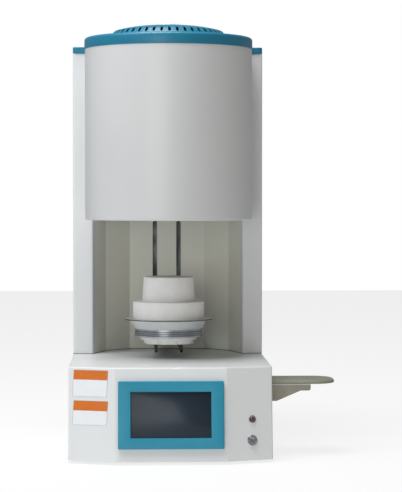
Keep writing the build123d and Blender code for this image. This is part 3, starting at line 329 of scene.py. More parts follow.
def make_finish(name, colour, drift, drift_share=0.3, drift_size=9.0, speck=None, specks=0.0,
                stretch=EVEN, metal=0.0, coat=0.0, coat_roughness=0.2, scuff=0.0,
                scuff_along=(1, 1, 12), sheen=0.0, *, grain, depth, gloss):
    """A finish from the shared groups; colours are as seen on a screen."""
    material, tree, shader = new_material(name)
    tones = {"Colour": paint(*colour), "Drift colour": paint(*drift), "Drift": drift_share,
             "Size": drift_size, "Speck colour": paint(*(speck or colour)), "Specks": specks}
    tone = use_group(tree, TONE, tones)
    tree.links.new(tone.outputs["Colour"], shader.inputs["Base Color"])
    roughness = add_relief(tree, shader, stretch, grain, depth, gloss)
    if scuff:
        marks = use_group(tree, SCUFF, {"Amount": scuff, "Along": scuff_along})
        roughness = maths(tree, "ADD", roughness, marks.outputs["Mask"])
    tree.links.new(roughness, shader.inputs["Roughness"])
    shader.inputs["Metallic"].default_value = metal
    shader.inputs["Coat Weight"].default_value = coat
    shader.inputs["Coat Roughness"].default_value = coat_roughness
    shader.inputs["Sheen Weight"].default_value = sheen
    return material


# Paints and mouldings
WHITE = make_finish(
    "white_powder_coat", (222, 223, 224), drift=(215, 217, 220), drift_share=0.5,
    speck=(170, 170, 168), specks=0.06, grain=1100.0, depth=0.10, gloss=(0.36, 0.46),
    coat=0.15, coat_roughness=0.25, scuff=0.12)
DRUM_WHITE = make_finish(
    "drum_white", (209, 209, 210), drift=(201, 202, 205), drift_share=0.4,
    speck=(170, 170, 168), specks=0.05, grain=1000.0, depth=0.08, gloss=(0.34, 0.42),
    coat=0.2, coat_roughness=0.22)
ALCOVE = make_finish(
    "alcove_paint", (232, 231, 220), drift=(222, 222, 211), drift_share=0.6,
    speck=(140, 140, 132), specks=0.08, grain=900.0, depth=0.12, gloss=(0.42, 0.52))
TEAL = make_finish(
    "teal_enamel", (18, 120, 150), drift=(14, 110, 142), drift_share=0.7, drift_size=14.0,
    speck=(90, 170, 190), specks=0.08, grain=900.0, depth=0.10, gloss=(0.36, 0.46),
    coat=0.08, coat_roughness=0.3, scuff=0.10)
BEZEL_TEAL = make_finish(
    "bezel_moulding", (24, 136, 164), drift=(18, 128, 157), drift_share=0.6, drift_size=20.0,
    grain=2600.0, depth=0.16, gloss=(0.38, 0.46), coat=0.1, coat_roughness=0.3)
TRAY_GREY = make_finish(
    "tray_grey", (140, 142, 127), drift=(124, 125, 110), drift_share=0.7, drift_size=22.0,
    speck=(90, 90, 80), specks=0.15, grain=1300.0, depth=0.14, gloss=(0.42, 0.55),
    scuff=0.25, scuff_along=(14, 1, 1))
BLACK_PLASTIC = make_finish(
    "black_moulding", (30, 31, 33), drift=(40, 41, 43), drift_share=0.5, drift_size=30.0,
    grain=2200.0, depth=0.2, gloss=(0.48, 0.6))
WHITE_PLASTIC = make_finish(
    "white_moulding", (236, 239, 242), drift=(228, 231, 235),
    grain=2000.0, depth=0.08, gloss=(0.3, 0.38))
RUBBER = make_finish(
    "moulded_rubber", (34, 34, 34), drift=(52, 51, 49), drift_share=0.6, drift_size=60.0,
    speck=(90, 88, 84), specks=0.2, grain=1500.0, depth=0.35, gloss=(0.75, 0.88))
# Painted shadow: a dark grey for the shadow line along the tower's foot
JOINT_SHADE = make_finish(
    "painted_foot_shadow", (96, 98, 96), drift=(76, 78, 76), drift_share=0.6, drift_size=60.0,
    grain=900.0, depth=0.2, gloss=(0.7, 0.8))

# Insulation, ceramics and glazes
FIBRE = make_finish(
    "pressed_fibre", (236, 234, 228), drift=(222, 216, 204), drift_share=0.6, drift_size=26.0,
    speck=(168, 156, 138), specks=0.35, grain=520.0, depth=0.55, gloss=(0.86, 0.95), sheen=0.15)
HEARTH_WHITE = make_finish(
    "hearth_ceramic", (240, 238, 237), drift=(226, 222, 219), drift_share=0.6, drift_size=34.0,
    speck=(176, 170, 160), specks=0.25, grain=620.0, depth=0.4, gloss=(0.78, 0.9))
PALE_CERAMIC = make_finish(
    "pale_ceramic", (240, 240, 238), drift=(224, 222, 216), drift_share=0.5, drift_size=40.0,
    speck=(150, 140, 120), specks=0.2, grain=900.0, depth=0.2, gloss=(0.6, 0.75))
ELEMENT_GREY = make_finish(
    "heater_glaze", (88, 88, 92), drift=(120, 116, 110), drift_share=0.7, drift_size=50.0,
    grain=700.0, depth=0.2, gloss=(0.35, 0.5))
BOARD_GREEN = make_finish(
    "board_lacquer", (44, 96, 62), drift=(34, 82, 52), drift_share=0.8, drift_size=240.0,
    speck=(170, 150, 90), specks=0.5, grain=1400.0, depth=0.1, gloss=(0.25, 0.35), coat=0.4)

# Metals
BRACKET_GREY = make_finish(
    "bracket_zinc", (168, 164, 152), drift=(140, 135, 122), drift_share=0.8, drift_size=26.0,
    grain=800.0, depth=0.1, gloss=(0.34, 0.5), metal=0.35)
DISH_METAL = make_finish(
    "pale_aluminium", (214, 217, 217), drift=(196, 199, 199), drift_share=0.6, drift_size=30.0,
    stretch=(1, 1, 10), grain=420.0, depth=0.08, gloss=(0.38, 0.52), metal=0.55)
RIB_METAL = make_finish(
    "turned_aluminium", (184, 188, 192), drift=(150, 153, 156), drift_share=0.7, drift_size=40.0,
    stretch=(1, 1, 14), grain=500.0, depth=0.12, gloss=(0.24, 0.36), metal=0.95)
ALUMINIUM = make_finish(
    "milled_aluminium", (190, 192, 194), drift=(168, 170, 172), drift_share=0.5, drift_size=18.0,
    stretch=(16, 1, 1), grain=320.0, depth=0.08, gloss=(0.28, 0.42), metal=1.0,
    scuff=0.2, scuff_along=(12, 1, 1))
ZINC = make_finish(
    "zinc_plate", (176, 178, 180), drift=(146, 150, 156), drift_share=0.9, drift_size=60.0,
    grain=700.0, depth=0.08, gloss=(0.3, 0.48), metal=0.9)
STEEL = make_finish(
    "ground_steel", (200, 200, 200), drift=(178, 178, 180), drift_share=0.4,
    stretch=(1, 1, 20), grain=360.0, depth=0.05, gloss=(0.14, 0.24), metal=1.0)
CHROME = make_finish(
    "satin_chrome", (190, 191, 193), drift=(150, 151, 154), drift_share=0.6, drift_size=90.0,
    grain=2400.0, depth=0.05, gloss=(0.12, 0.22), metal=1.0)
BRONZE = make_finish(
    "bearing_bronze", (186, 142, 78), drift=(150, 110, 60), drift_share=0.6, drift_size=50.0,
    stretch=(1, 1, 12), grain=500.0, depth=0.08, gloss=(0.28, 0.4), metal=1.0)
DARK_STEEL = make_finish(
    "black_oxide", (44, 44, 47), drift=(58, 56, 54), drift_share=0.7, drift_size=40.0,
    grain=900.0, depth=0.12, gloss=(0.36, 0.5), metal=0.6)
# Painted shade: a dark grey for the flange's outer edge, where a shadow line falls
EDGE_SHADE = make_finish(
    "painted_edge_shade", (84, 86, 88), drift=(60, 62, 64), drift_share=0.8, drift_size=60.0,
    grain=900.0, depth=0.2, gloss=(0.45, 0.6), metal=0.5)

# Label stock
ORANGE = make_finish(
    "label_orange", (212, 112, 34), drift=(204, 102, 26), drift_share=0.6, drift_size=60.0,
    grain=1800.0, depth=0.04, gloss=(0.32, 0.4))
LABEL_WHITE = make_finish(
    "label_white", (232, 234, 238), drift=(224, 226, 230), drift_share=0.5, drift_size=60.0,
    grain=1800.0, depth=0.04, gloss=(0.32, 0.4))
LABEL_LINE = make_finish(
    "label_line", (150, 152, 160), drift=(130, 132, 140),
    grain=1800.0, depth=0.04, gloss=(0.35, 0.45))

# Display and lens
DISPLAY_MIDDLE = paint(38, 48, 60)
DISPLAY_EDGE = paint(30, 40, 50)
DISPLAY_SHADE_RANGE = (0.01, 0.095)
DISPLAY_CLOUD = 0.12


def make_display():
    """Switched-off display: dark slate that is a little lighter in the middle, under clear glass."""
    material, tree, shader = new_material("display_glass")
    place = tree.nodes.new("ShaderNodeTexCoord")
    offset = vector_maths(tree, "DISTANCE", place.outputs["Object"], middle("screen_glass"))
    shade = map_range(tree, offset.outputs["Value"], DISPLAY_SHADE_RANGE, (0.0, 1.0), "SMOOTHSTEP")
    cloud = stretched_noise(tree, EVEN, 16.0, 2.0)
    uneven = map_range(tree, cloud, NOISE_RANGE, (-DISPLAY_CLOUD, DISPLAY_CLOUD))
    share = maths(tree, "ADD", shade, uneven)
    tree.links.new(mix_colour(tree, share, DISPLAY_MIDDLE, DISPLAY_EDGE), shader.inputs["Base Color"])
    roughness = add_relief(tree, shader, EVEN, grain=60.0, depth=0.015, gloss=(0.16, 0.24))
    tree.links.new(roughness, shader.inputs["Roughness"])
    shader.inputs["Specular IOR Level"].default_value = 0.25
    return material


def make_lens():
    """Dark red lens with a fine moulded pattern."""
    material = make_finish(
        "red_lens", (92, 18, 34), drift=(60, 10, 24), drift_share=0.8, drift_size=220.0,
        grain=1800.0, depth=0.25, gloss=(0.1, 0.18), coat=0.8, coat_roughness=0.06)
    shader = material.node_tree.nodes["Principled BSDF"]
    shader.inputs["Transmission Weight"].default_value = 0.25
    return material


DISPLAY = make_display()
LENS_RED = make_lens()


# Mesh helpers
SHARP_ANGLE = math.radians(38)


def close_mesh(name, bm):
    """Turn a working mesh into a mesh of the scene."""
    mesh = bpy.data.meshes.new(name)
    bm.to_mesh(mesh)
    bm.free()
    return mesh


def new_piece(name, bm, body, finish, stands_for=(), more=()):
    """Close a mesh, give it its finish and let it ride on its body."""
    bmesh.ops.remove_doubles(bm, verts=bm.verts, dist=WELD)
    bmesh.ops.recalc_face_normals(bm, faces=bm.faces)
    mesh = close_mesh(name, bm)
    mesh.shade_smooth()
    mesh.set_sharp_from_angle(angle=SHARP_ANGLE)
    for material in (finish, *more):
        mesh.materials.append(material)
    piece = new_object(name, mesh)
    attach(piece, body)
    if stands_for:
        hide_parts(*stands_for)
    return piece


def bevel(bm, geom, size, segments, affect="EDGES", profile=0.5):
    """Round edges or corners by a size in millimetres."""
    bmesh.ops.bevel(bm, geom=geom, offset=size * MM, segments=segments, profile=profile,
                    affect=affect, material=-1)


def edges_at(bm, z):
    """The edges that lie at one local height in millimetres."""
    return [e for e in bm.edges if all(abs(v.co.z - z * MM) < TINY for v in e.verts)]


def upright_edges(bm):
    """The edges that run along local z."""
    return [e for e in bm.edges if abs(e.verts[0].co.z - e.verts[1].co.z) > MM]


def raise_faces(bm, thick):
    """Give flat faces a thickness in millimetres along local z."""
    raised = bmesh.ops.extrude_face_region(bm, geom=list(bm.faces))
    top = [g for g in raised["geom"] if isinstance(g, bmesh.types.BMVert)]
    bmesh.ops.translate(bm, vec=(0, 0, thick * MM), verts=top)
    bmesh.ops.recalc_face_normals(bm, faces=bm.faces)


def ring_edges(bm, axis, radius, z):
    """The edges of one ring about an upright axis."""
    def lies_on(vert):
        return abs(vert.co.z - z) < TINY and abs((vert.co - axis).xy.length - radius) < TINY
    return [e for e in bm.edges if all(lies_on(v) for v in e.verts)]


def turn(profile, steps, rounds=(), axis=AXIS):
    """Spin a closed outline of (radius, height) in millimetres, then round some of its rings."""
    bm = bmesh.new()
    verts = [bm.verts.new(axis + Vector((r * MM, 0, z * MM))) for r, z in profile]
    edges = [bm.edges.new(pair) for pair in zip(verts, verts[1:])]
    if profile[0][0] > 0 or profile[-1][0] > 0:
        edges.append(bm.edges.new((verts[-1], verts[0])))
    bmesh.ops.spin(bm, geom=verts + edges, cent=axis, axis=(0, 0, 1), angle=FULL_TURN,
                   steps=steps, use_merge=True)
    bmesh.ops.remove_doubles(bm, verts=bm.verts, dist=WELD)
    for radius, z, size, segments in rounds:
        bevel(bm, ring_edges(bm, axis, radius * MM, z * MM), size, segments)
    return bm


def local_turn(profile, matrix, steps, rounds=()):
    """Spin an outline about a panel's outward axis."""
    bm = turn(profile, steps, rounds, ORIGIN)
    bmesh.ops.transform(bm, matrix=matrix, verts=bm.verts)
    return bm


def flat_plate(width, height):
    """A flat rectangle of a size in millimetres, centred on the origin."""
    bm = bmesh.new()
    bmesh.ops.create_grid(bm, x_segments=1, y_segments=1, size=0.5)
    bmesh.ops.scale(bm, vec=(width * MM, height * MM, 1), verts=bm.verts)
    return bm


def slab(width, height, thick, corner, corner_segments):
    """A plate in its own plane, centred in x and y, from z = 0 up, with rounded corners."""
    bm = flat_plate(width, height)
    bevel(bm, list(bm.verts), corner, corner_segments, affect="VERTICES")
    raise_faces(bm, thick)
    return bm


# Planes of the base's leaning front, with local z outward
LEAN = math.radians(10)
DECK_Z = 188
FRONT_REACH = 309
SEAM_X = 110
FACET_RUN = Vector((92, 31, 0))


def plane_matrix(origin, along, up_hint):
    """A frame on a plane: x along it, y up it, z out of it."""
    x = along.normalized()
    z = x.cross(up_hint).normalized()
    y = z.cross(x)
    return Matrix.Translation(origin) @ Matrix((x, y, z)).transposed().to_4x4()


def front_reach(z):
    """How far the leaning front stands out at a height."""
    return FRONT_REACH + math.tan(LEAN) * (DECK_Z - z)


def panel_place(x, z):
    """The centre panel at a height."""
    return plane_matrix(at(x, -front_reach(z), z), Vector((1, 0, 0)), Vector((0, math.tan(LEAN), 1)))


def facet_place(side, run, z):
    """A side facet at a height, a run from its seam; side is 1 on the right."""
    along = Vector((FACET_RUN.x, side * FACET_RUN.y, 0)).normalized()
    seam = at(side * SEAM_X, -front_reach(z), z)
    return plane_matrix(seam + along * side * run * MM, along, Vector((0, math.tan(LEAN), 1)))


# Drum and lid
DRUM_R = 174
DRUM_WALL = 1.2
DRUM_LIP_R = 164
DRUM_LOW = 476
DRUM_TOP = 830
LID_R = 175
LID_WALL_R = 170.5
LID_SPIGOT_R = 172.5
LID_SPIGOT_LOW = 824
LID_TOP = 853.5
LID_PLATE_T = 2
LID_OPENING_R = 112
DRUM_STEPS = 192


def make_drum():
    """White drum wall with a rolled lower edge."""
    inner, lip_top = DRUM_R - DRUM_WALL, DRUM_LOW + DRUM_WALL
    profile = [(inner, DRUM_TOP), (DRUM_R, DRUM_TOP), (DRUM_R, DRUM_LOW), (DRUM_LIP_R, DRUM_LOW),
               (DRUM_LIP_R, lip_top), (inner, lip_top)]
    rounds = [(DRUM_R, DRUM_LOW, 3.0, 5), (DRUM_LIP_R, lip_top, 0.5, 2)]
    new_piece("drum_wall", turn(profile, DRUM_STEPS, rounds), "housing", DRUM_WHITE,
              ["drum_shell"])


def make_lid():
    """Teal lid ring with a rounded shoulder."""
    under = LID_TOP - LID_PLATE_T
    profile = [(LID_R, DRUM_TOP), (LID_R, LID_TOP), (LID_OPENING_R, LID_TOP), (LID_OPENING_R, under),
               (LID_WALL_R, under), (LID_WALL_R, LID_SPIGOT_LOW), (LID_SPIGOT_R, LID_SPIGOT_LOW),
               (LID_SPIGOT_R, DRUM_TOP)]
    rounds = [(LID_R, LID_TOP, 6.0, 7), (LID_R, DRUM_TOP, 0.8, 2), (LID_OPENING_R, LID_TOP, 0.8, 2)]
    new_piece("lid_ring", turn(profile, DRUM_STEPS, rounds), "housing", TEAL, ["drum_lid"])


# Grille and crown
GRILLE_R = 124
GRILLE_WALL = 1.6
SKIRT_LOW = 855
SHOULDER_R = 112
SHOULDER_DROP = 11
CROWN_FLAT_R = 30
CROWN_Z = 879
CROWN_R = 26
CROWN_TOP = 882
DOME_STEPS = 6
DOME_INNER_SHARE = 0.993
SLOTS = 46
SLOT_R = 113
SLOT_MID_Z = 886.2
SLOT_SIZE = (14, 5.6, 60)
SLOT_END_R = 2.7
SLOT_SHARP_ANGLE = math.radians(32)


def slot_cutters():
    """The ring of round-ended cutters, as an object."""
    bm = bmesh.new()
    bmesh.ops.create_cube(bm, size=1)
    bmesh.ops.scale(bm, vec=[size * MM for size in SLOT_SIZE], verts=bm.verts)
    bevel(bm, upright_edges(bm), SLOT_END_R, 4)
    first = Matrix.Rotation(math.pi / SLOTS, 4, "Z") @ Matrix.Translation((SLOT_R * MM, 0, 0))
    place = Matrix.Translation(AXIS + Vector((0, 0, SLOT_MID_Z * MM)))
    bmesh.ops.transform(bm, matrix=place @ first, verts=bm.verts)
    bmesh.ops.spin(bm, geom=list(bm.verts) + list(bm.edges) + list(bm.faces), cent=AXIS, axis=(0, 0, 1),
                   angle=FULL_TURN * (SLOTS - 1) / SLOTS, steps=SLOTS - 1, use_duplicate=True)
    return new_object("slot_cutters", close_mesh("slot_cutters", bm))


def make_grille():
    """Domed grille: a thin turned shell with a ring of round-ended radial slots."""
    sweep = []
    for i in range(DOME_STEPS + 1):
        radius = CROWN_FLAT_R + (SHOULDER_R - CROWN_FLAT_R) * i / DOME_STEPS
        sweep.append((radius, CROWN_Z - SHOULDER_DROP * (i / DOME_STEPS) ** 2))
    inner_r = GRILLE_R - GRILLE_WALL
    outer = [(GRILLE_R, LID_TOP), (GRILLE_R, SKIRT_LOW)] + sweep[::-1] + [(0, CROWN_Z)]
    inner = [(0, CROWN_Z - GRILLE_WALL)] + [(r * DOME_INNER_SHARE, z - GRILLE_WALL) for r, z in sweep]
    inner += [(inner_r, SKIRT_LOW), (inner_r, LID_TOP)]
    rounds = [(GRILLE_R, SKIRT_LOW, 0.7, 2), (SHOULDER_R, CROWN_Z - SHOULDER_DROP, 2.5, 4)]
    dome = new_piece("grille_dome", turn(outer + inner, 176, rounds), "housing", TEAL,
                     ["vent_grille"])
    cutters = slot_cutters()
    cut = dome.modifiers.new("slots", "BOOLEAN")
    cut.operation = "DIFFERENCE"
    cut.solver = "EXACT"
    cut.object = cutters
    bpy.context.view_layer.update()
    shaped = bpy.data.meshes.new_from_object(dome.evaluated_get(bpy.context.evaluated_depsgraph_get()))
    dome.modifiers.clear()
    dome.data = shaped
    shaped.shade_smooth()
    shaped.set_sharp_from_angle(angle=SLOT_SHARP_ANGLE)
    bpy.data.objects.remove(cutters)


def make_crown():
    """White disc on the dome's crown."""
    profile = [(0, CROWN_Z), (CROWN_R, CROWN_Z), (CROWN_R, CROWN_TOP), (0, CROWN_TOP)]
    rounds = [(CROWN_R, CROWN_TOP, 1.4, 4)]
    new_piece("crown_disc", turn(profile, 96, rounds), "housing", WHITE_PLASTIC,
              ["crown_cap"])


# Hearth, all on the lift
COLLAR_Z = 226
RIB_Z = 233
DISH_Z = 249
FLANGE_Z = 268
HEARTH_Z = 270
PEDESTAL_Z = 306
PEDESTAL_TOP = 357
PEDESTAL_LOW_R = 55.5
PEDESTAL_TOP_R = 51.5
HEARTH_R = 74
FLANGE_R = 92
FLANGE_BORE_R = 60
FLANGE_SHADE_R = 91.2
DISH_FLOOR_R = 71.5
DISH_RIM_R = 81
DISH_WALL = 2
RIB_R = 71
RIB_BORE_R = 54
RIB_PITCH = 4
GROOVE_SIDES = ((71, 1.44), (69.2, 0.9))
GROOVE_R = 68.5
COLLAR_R = 59
COLLAR_BORE_R = 12


def hearth_piece(name, profile, steps, rounds, finish, node):
    """A turned piece of the hearth."""
    new_piece(name, turn(profile, steps, rounds), "lift", finish, [node])


def make_blocks():
    """The tapered pedestal on its straight base, both of ceramic."""
    block = [(0, PEDESTAL_Z), (PEDESTAL_LOW_R, PEDESTAL_Z), (PEDESTAL_TOP_R, PEDESTAL_TOP),
             (0, PEDESTAL_TOP)]
    rounds = [(PEDESTAL_TOP_R, PEDESTAL_TOP, 1.8, 4), (PEDESTAL_LOW_R, PEDESTAL_Z, 0.6, 2)]
    hearth_piece("pedestal_block", block, 128, rounds, HEARTH_WHITE, "hearth_pedestal")
    base = [(0, HEARTH_Z), (HEARTH_R, HEARTH_Z), (HEARTH_R, PEDESTAL_Z), (0, PEDESTAL_Z)]
    rounds = [(HEARTH_R, PEDESTAL_Z, 1.6, 4), (HEARTH_R, HEARTH_Z, 0.8, 2)]
    hearth_piece("base_block", base, 160, rounds, HEARTH_WHITE, "hearth_base")


def make_flange():
    """Thin flange whose outer edge takes a dark finish, painted shade along its rim."""
    profile = [(FLANGE_BORE_R, FLANGE_Z), (FLANGE_R, FLANGE_Z), (FLANGE_R, HEARTH_Z),
               (FLANGE_BORE_R, HEARTH_Z)]
    flange = turn(profile, 160, [(FLANGE_R, HEARTH_Z, 0.3, 2)])
    # Faces on the flange's outer edge take the painted shade
    for face in flange.faces:
        if (face.calc_center_median() - AXIS).xy.length > FLANGE_SHADE_R * MM:
            face.material_index = 1
    new_piece("flange_ring", flange, "lift", DISH_METAL, ["hearth_flange"],
              more=[EDGE_SHADE])


def make_dish():
    """Conical dish with a flat floor."""
    profile = [(0, DISH_Z), (DISH_FLOOR_R, DISH_Z), (DISH_RIM_R, FLANGE_Z),
               (DISH_RIM_R - DISH_WALL, FLANGE_Z), (DISH_FLOOR_R - DISH_WALL, DISH_Z + DISH_WALL),
               (0, DISH_Z + DISH_WALL)]
    hearth_piece("dish_cone", profile, 160, [(DISH_FLOOR_R, DISH_Z, 1.6, 4)], DISH_METAL,
                 "hearth_dish")


def make_ribs():
    """Aluminium ring with three grooves between its ribs."""
    profile = [(RIB_BORE_R, RIB_Z), (RIB_R, RIB_Z)]
    for z in range(RIB_Z + RIB_PITCH, DISH_Z, RIB_PITCH):
        profile += [(r, z - half) for r, half in GROOVE_SIDES]
        profile.append((GROOVE_R, z))
        profile += [(r, z + half) for r, half in reversed(GROOVE_SIDES)]
    profile += [(RIB_R, DISH_Z), (RIB_BORE_R, DISH_Z)]
    hearth_piece("ribbed_band", profile, 160, [(RIB_R, RIB_Z, 0.5, 2)], RIB_METAL,
                 "ribbed_ring")


def make_collar():
    """Ceramic collar under the ribs."""
    profile = [(COLLAR_BORE_R, COLLAR_Z), (COLLAR_R, COLLAR_Z), (COLLAR_R, RIB_Z), (COLLAR_BORE_R, RIB_Z)]
    rounds = [(COLLAR_R, COLLAR_Z, 1.2, 3), (COLLAR_R, RIB_Z, 0.6, 2)]
    hearth_piece("collar_ring", profile, 128, rounds, PALE_CERAMIC, "hearth_collar")


# Screen
SCREEN_Z = 96
BEZEL_HALF = (104, 66.5)
WINDOW_HALF = (79, 45)
BEZEL_T = 8
BEZEL_CORNER_R = 2.5
BEZEL_RIM = 2.0
GLASS_SIZE = (158, 90, 4)


def bezel_sheet():
    """A flat frame: nine faces on the bezel's and the window's edges, less the middle one."""
    bm = bmesh.new()
    bmesh.ops.create_grid(bm, x_segments=3, y_segments=3, size=1.5)
    for v in bm.verts:
        for axis in (0, 1):
            half = BEZEL_HALF if abs(v.co[axis]) > 1 else WINDOW_HALF
            v.co[axis] = math.copysign(half[axis] * MM, v.co[axis])
    centre = [f for f in bm.faces if f.calc_center_median().length < MM]
    bmesh.ops.delete(bm, geom=centre, context="FACES_ONLY")
    return bm


def reaches(vert, half):
    """Whether a vertex lies past a rectangle's half sizes, in each direction."""
    return [abs(vert.co[axis]) > half[axis] * MM for axis in (0, 1)]


def make_bezel():
    """Moulded frame round the display, with a sloping window edge."""
    bm = bezel_sheet()
    raise_faces(bm, BEZEL_T)
    near_corner = [size - TINY / MM for size in BEZEL_HALF]
    corners = [e for e in upright_edges(bm) if all(reaches(e.verts[0], near_corner))]
    bevel(bm, corners, BEZEL_CORNER_R, 4)
    past_window = [size + TINY / MM for size in WINDOW_HALF]
    rim = [e for e in edges_at(bm, BEZEL_T) if any(f.normal.z < 0.5 for f in e.link_faces)]
    outer = [e for e in rim if any(any(reaches(v, past_window)) for v in e.verts)]
    inner = [e for e in rim if e not in outer]
    bevel(bm, outer, BEZEL_RIM, 3, profile=0.6)
    bevel(bm, [e for e in inner if e.is_valid], BEZEL_RIM, 2)
    bmesh.ops.transform(bm, matrix=panel_place(0, SCREEN_Z), verts=bm.verts)
    new_piece("bezel_frame", bm, "housing", BEZEL_TEAL, ["screen_bezel"])


def make_glass():
    """The display's glass, with a fine rim."""
    bm = slab(*GLASS_SIZE, corner=0.6, corner_segments=2)
    bevel(bm, edges_at(bm, GLASS_SIZE[2]), 0.4, 2)
    bmesh.ops.transform(bm, matrix=panel_place(0, SCREEN_Z), verts=bm.verts)
    new_piece("display_pane", bm, "housing", DISPLAY, ["screen_glass"])


# Lamp and button, on the right facet
CONTROL_RUN = 53
LAMP_Z = 85.5
BUTTON_Z = 44.7
LAMP_RING = ((4.9, -22), (5.8, -22), (5.8, 0), (8, 0), (8, 2), (4.9, 2))
LAMP_DOME = ((0, -22), (4.6, -22), (4.6, 1.0), (4.2, 2.3), (3.2, 3.6), (1.8, 4.4), (0, 4.6))
BUTTON_RING = ((7.5, -26), (9.3, -26), (9.3, 0), (10.5, 0), (10.5, 2), (7.5, 2))
BUTTON_CAP = ((0, -9.4), (7.2, -9.4), (7.2, 4.6), (5.4, 4.6), (3.6, 4.25), (1.8, 4.05), (0, 4.0))


def make_controls():
    """Indicator lamp and push button."""
    lamp_place = facet_place(1, CONTROL_RUN, LAMP_Z)
    ring = local_turn(LAMP_RING, lamp_place, 64, [(8, 2, 0.9, 3), (4.9, 2, 0.4, 2)])
    new_piece("lamp_ring", ring, "housing", CHROME, ["lamp_bezel"])
    dome = local_turn(LAMP_DOME, lamp_place, 48)
    new_piece("lamp_dome", dome, "housing", LENS_RED, ["lamp_lens"])
    button_place = facet_place(1, CONTROL_RUN, BUTTON_Z)
    ring = local_turn(BUTTON_RING, button_place, 72, [(10.5, 2, 1.0, 3), (7.5, 2, 0.5, 2)])
    new_piece("button_ring", ring, "housing", CHROME, ["button_body"])
    cap = local_turn(BUTTON_CAP, button_place, 72, [(7.2, 4.6, 0.7, 3)])
    new_piece("button_face", cap, "button", CHROME, ["button_cap"])


# Side tray
TRAY_AT = (269, -180, 146)
TRAY_LENGTH = 134
TRAY_W = 100
TRAY_T = 7.5
TRAY_END_R = 42
TRAY_TOP_R = 5.0
TRAY_FOOT_R = 2.0


def make_tray():
    """Flat tray with a rounded outer end and a soft rim."""
    bm = flat_plate(TRAY_LENGTH, TRAY_W)
    bevel(bm, [v for v in bm.verts if v.co.x > 0], TRAY_END_R, 18, affect="VERTICES")
    raise_faces(bm, TRAY_T)
    inner_end = TINY - TRAY_LENGTH / 2 * MM
    for z, radius in ((TRAY_T, TRAY_TOP_R), (0, TRAY_FOOT_R)):
        rims = [e for e in edges_at(bm, z) if not all(v.co.x < inner_end for v in e.verts)]
        bevel(bm, rims, radius, 6)
    bmesh.ops.translate(bm, vec=at(*TRAY_AT), verts=bm.verts)
    new_piece("tray_plate", bm, "housing", TRAY_GREY, ["side_tray"])


# Blank two-tone plates on the left facet: their lower and upper edges and the height of their bands
PLATES = {"upper": (130.5, 182.0, 18.5), "lower": (75.5, 122.5, 19.0)}
PLATE_RUN = 51.5
PLATE_W = 72
PLATE_MARGIN = 0.6
PLATE_LINE_T = 0.25
PLATE_FIELD_T = 0.35


def make_plates():
    """Two thin plates, each an orange band over a white field with a fine line round it."""
    within = PLATE_W - 2 * PLATE_MARGIN
    for name, (z_low, z_high, band) in PLATES.items():
        height = (z_high - z_low) / math.cos(LEAN)
        place = facet_place(-1, PLATE_RUN, (z_low + z_high) / 2)
        field_height = height - band - PLATE_MARGIN
        band_rise = (height - band) / 2 - PLATE_MARGIN
        pieces = (("line", PLATE_W, height, PLATE_LINE_T, 0, LABEL_LINE),
                  ("field", within, field_height, PLATE_FIELD_T, -band / 2, LABEL_WHITE),
                  ("band", within, band, PLATE_FIELD_T, band_rise, ORANGE))
        for part, width, tall, thick, rise, finish in pieces:
            bm = slab(width, tall, thick, corner=0.8, corner_segments=3)
            bmesh.ops.transform(bm, matrix=place @ Matrix.Translation((0, rise * MM, 0)), verts=bm.verts)
            new_piece(f"{name}_plate_{part}", bm, "housing", finish)


# Dark bead where the columns and the alcove stand on the deck, painted shadow of the gap line there
TOWER_FOOT = ((202, 0), (160, 0), (134, 74), (82, 124))
FOOT_CORNER_R = 4.0
CORNER_STEPS = 5
BEAD_W = 0.9
BEAD_H = 1.1


def rounded_line(points, radius):
    """A line of (x, y) points with each inner corner turned into an arc."""
    line = [Vector(points[0])]
    for before, corner, after in zip(points, points[1:], points[2:]):
        corner = Vector(corner)
        back, ahead = (Vector(before) - corner).normalized(), (Vector(after) - corner).normalized()
        half = back.angle(ahead) / 2
        centre = corner + (back + ahead).normalized() * radius / math.sin(half)
        first, last = corner + back * radius / math.tan(half), corner + ahead * radius / math.tan(half)
        for i in range(CORNER_STEPS + 1):
            mixed = (first - centre).lerp(last - centre, i / CORNER_STEPS).normalized()
            line.append(centre + mixed * radius)
    return line + [Vector(points[-1])]


def make_foot_bead():
    """A thin dark line along the tower's foot, painted shadow where it meets the deck."""
    line = rounded_line([(-x, y) for x, y in TOWER_FOOT] + list(TOWER_FOOT[::-1]), FOOT_CORNER_R)
    ways = [(b - a).normalized() for a, b in zip(line, line[1:])]
    ways = [ways[0]] + [(a + b).normalized() for a, b in zip(ways, ways[1:])] + [ways[-1]]
    outer = [point + Vector((way.y, -way.x)) * BEAD_W for point, way in zip(line, ways)]
    bm = bmesh.new()
    bm.faces.new([bm.verts.new(at(p.x, p.y, DECK_Z)) for p in line + outer[::-1]])
    raise_faces(bm, BEAD_H)
    new_piece("foot_bead", bm, "housing", JOINT_SHADE)


# Screws on the rear cover
SCREW_HEAD = ((0, 0.6), (1.4, 0.6), (1.6, 2.0), (2.6, 1.8), (3.4, 1.1), (3.8, 0), (0, 0))
SCREW_X = 192
SCREW_LOW_Z = 24
SCREW_PITCH = 156
SCREW_ROWS = 6
COVER_Y = 205.5


def make_screws():
    """Pan-head screws down both sides of the rear cover."""
    rearward = plane_matrix(ORIGIN, Vector((-1, 0, 0)), Vector((0, 0, 1)))
    whole = bmesh.new()
    for x in (-SCREW_X, SCREW_X):
        for row in range(SCREW_ROWS):
            spot = Matrix.Translation(at(x, COVER_Y, SCREW_LOW_Z + SCREW_PITCH * row))
            one = close_mesh("screw", local_turn(SCREW_HEAD, spot @ rearward, 24))
            whole.from_mesh(one)
            bpy.data.meshes.remove(one)
    new_piece("cover_screws", whole, "housing", ZINC)


make_drum()
make_lid()
make_grille()
make_crown()
make_blocks()
make_flange()
make_dish()
make_ribs()
make_collar()
make_bezel()
make_glass()
make_controls()
make_tray()
make_plates()
make_foot_bead()
make_screws()


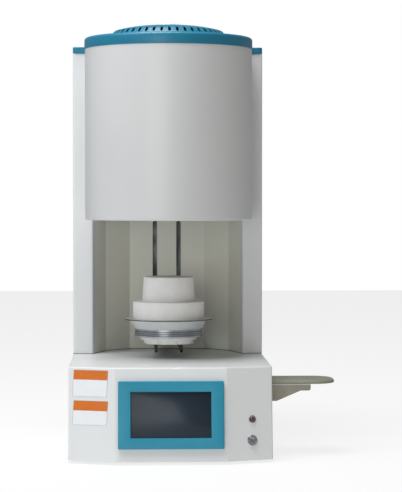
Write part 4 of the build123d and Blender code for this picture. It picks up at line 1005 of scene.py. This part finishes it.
# The remaining solids keep their shape and take a finish
FINISHES = (
    (WHITE, "base_shell right_column left_column rear_cover tray_support"),
    (ALCOVE, "alcove_panel"),
    (TEAL, "tower_cap"),
    (ZINC, "base_pan drum_saddles lift_frame motor_plate mouth_plate terminal_links"),
    (BRACKET_GREY, "tray_bracket"),
    (STEEL, "guide_rods lead_screw motor_shaft linear_bearings screw_bearings panel_nuts"),
    (ALUMINIUM, "carriage end_blocks motor_coupling power_controller"),
    (BRONZE, "lead_nut"),
    (FIBRE, "floor_wool wall_wool roof_wool"),
    (PALE_CERAMIC, "element_holders thermocouple hearth_table"),
    (ELEMENT_GREY, "heating_elements"),
    (BLACK_PLASTIC, "fan_frame fan_rotor cable_gland screen_housing"),
    # The lift arms take this dark finish as painted shade, so that they merge with the shadow under the
    # hearth
    (DARK_STEEL, "lift_motor transformer fan_guard lift_arms"),
    (RUBBER, "rubber_feet"),
    (BOARD_GREEN, "control_board"),
)
for finish, names in FINISHES:
    for name in names.split():
        NODES[name].data.materials.clear()
        NODES[name].data.materials.append(finish)


# Floor
FLOOR_HALF = 6
FLOOR_COLOUR = (0.86, 0.87, 0.88, 1)
FLOOR_ROUGHNESS = 0.9
FLOOR_GLOW = 0.82


def make_floor():
    """Pale floor that shows mostly white to the camera and keeps a soft shadow."""
    bm = bmesh.new()
    bmesh.ops.create_grid(bm, x_segments=4, y_segments=4, size=FLOOR_HALF)
    floor = new_object("studio_floor", close_mesh("studio_floor", bm))
    material, tree, shader = new_material("studio_floor")
    shader.inputs["Base Color"].default_value = FLOOR_COLOUR
    shader.inputs["Roughness"].default_value = FLOOR_ROUGHNESS
    glow = tree.nodes.new("ShaderNodeEmission")
    glow.inputs["Color"].default_value = (*EVEN, 1)
    rays = tree.nodes.new("ShaderNodeLightPath")
    share = maths(tree, "MULTIPLY", rays.outputs["Is Camera Ray"], FLOOR_GLOW)
    shown = mix_shaders(tree, share, shader.outputs[0], glow.outputs[0])
    tree.links.new(shown, tree.nodes["Material Output"].inputs["Surface"])
    floor.data.materials.append(material)


make_floor()
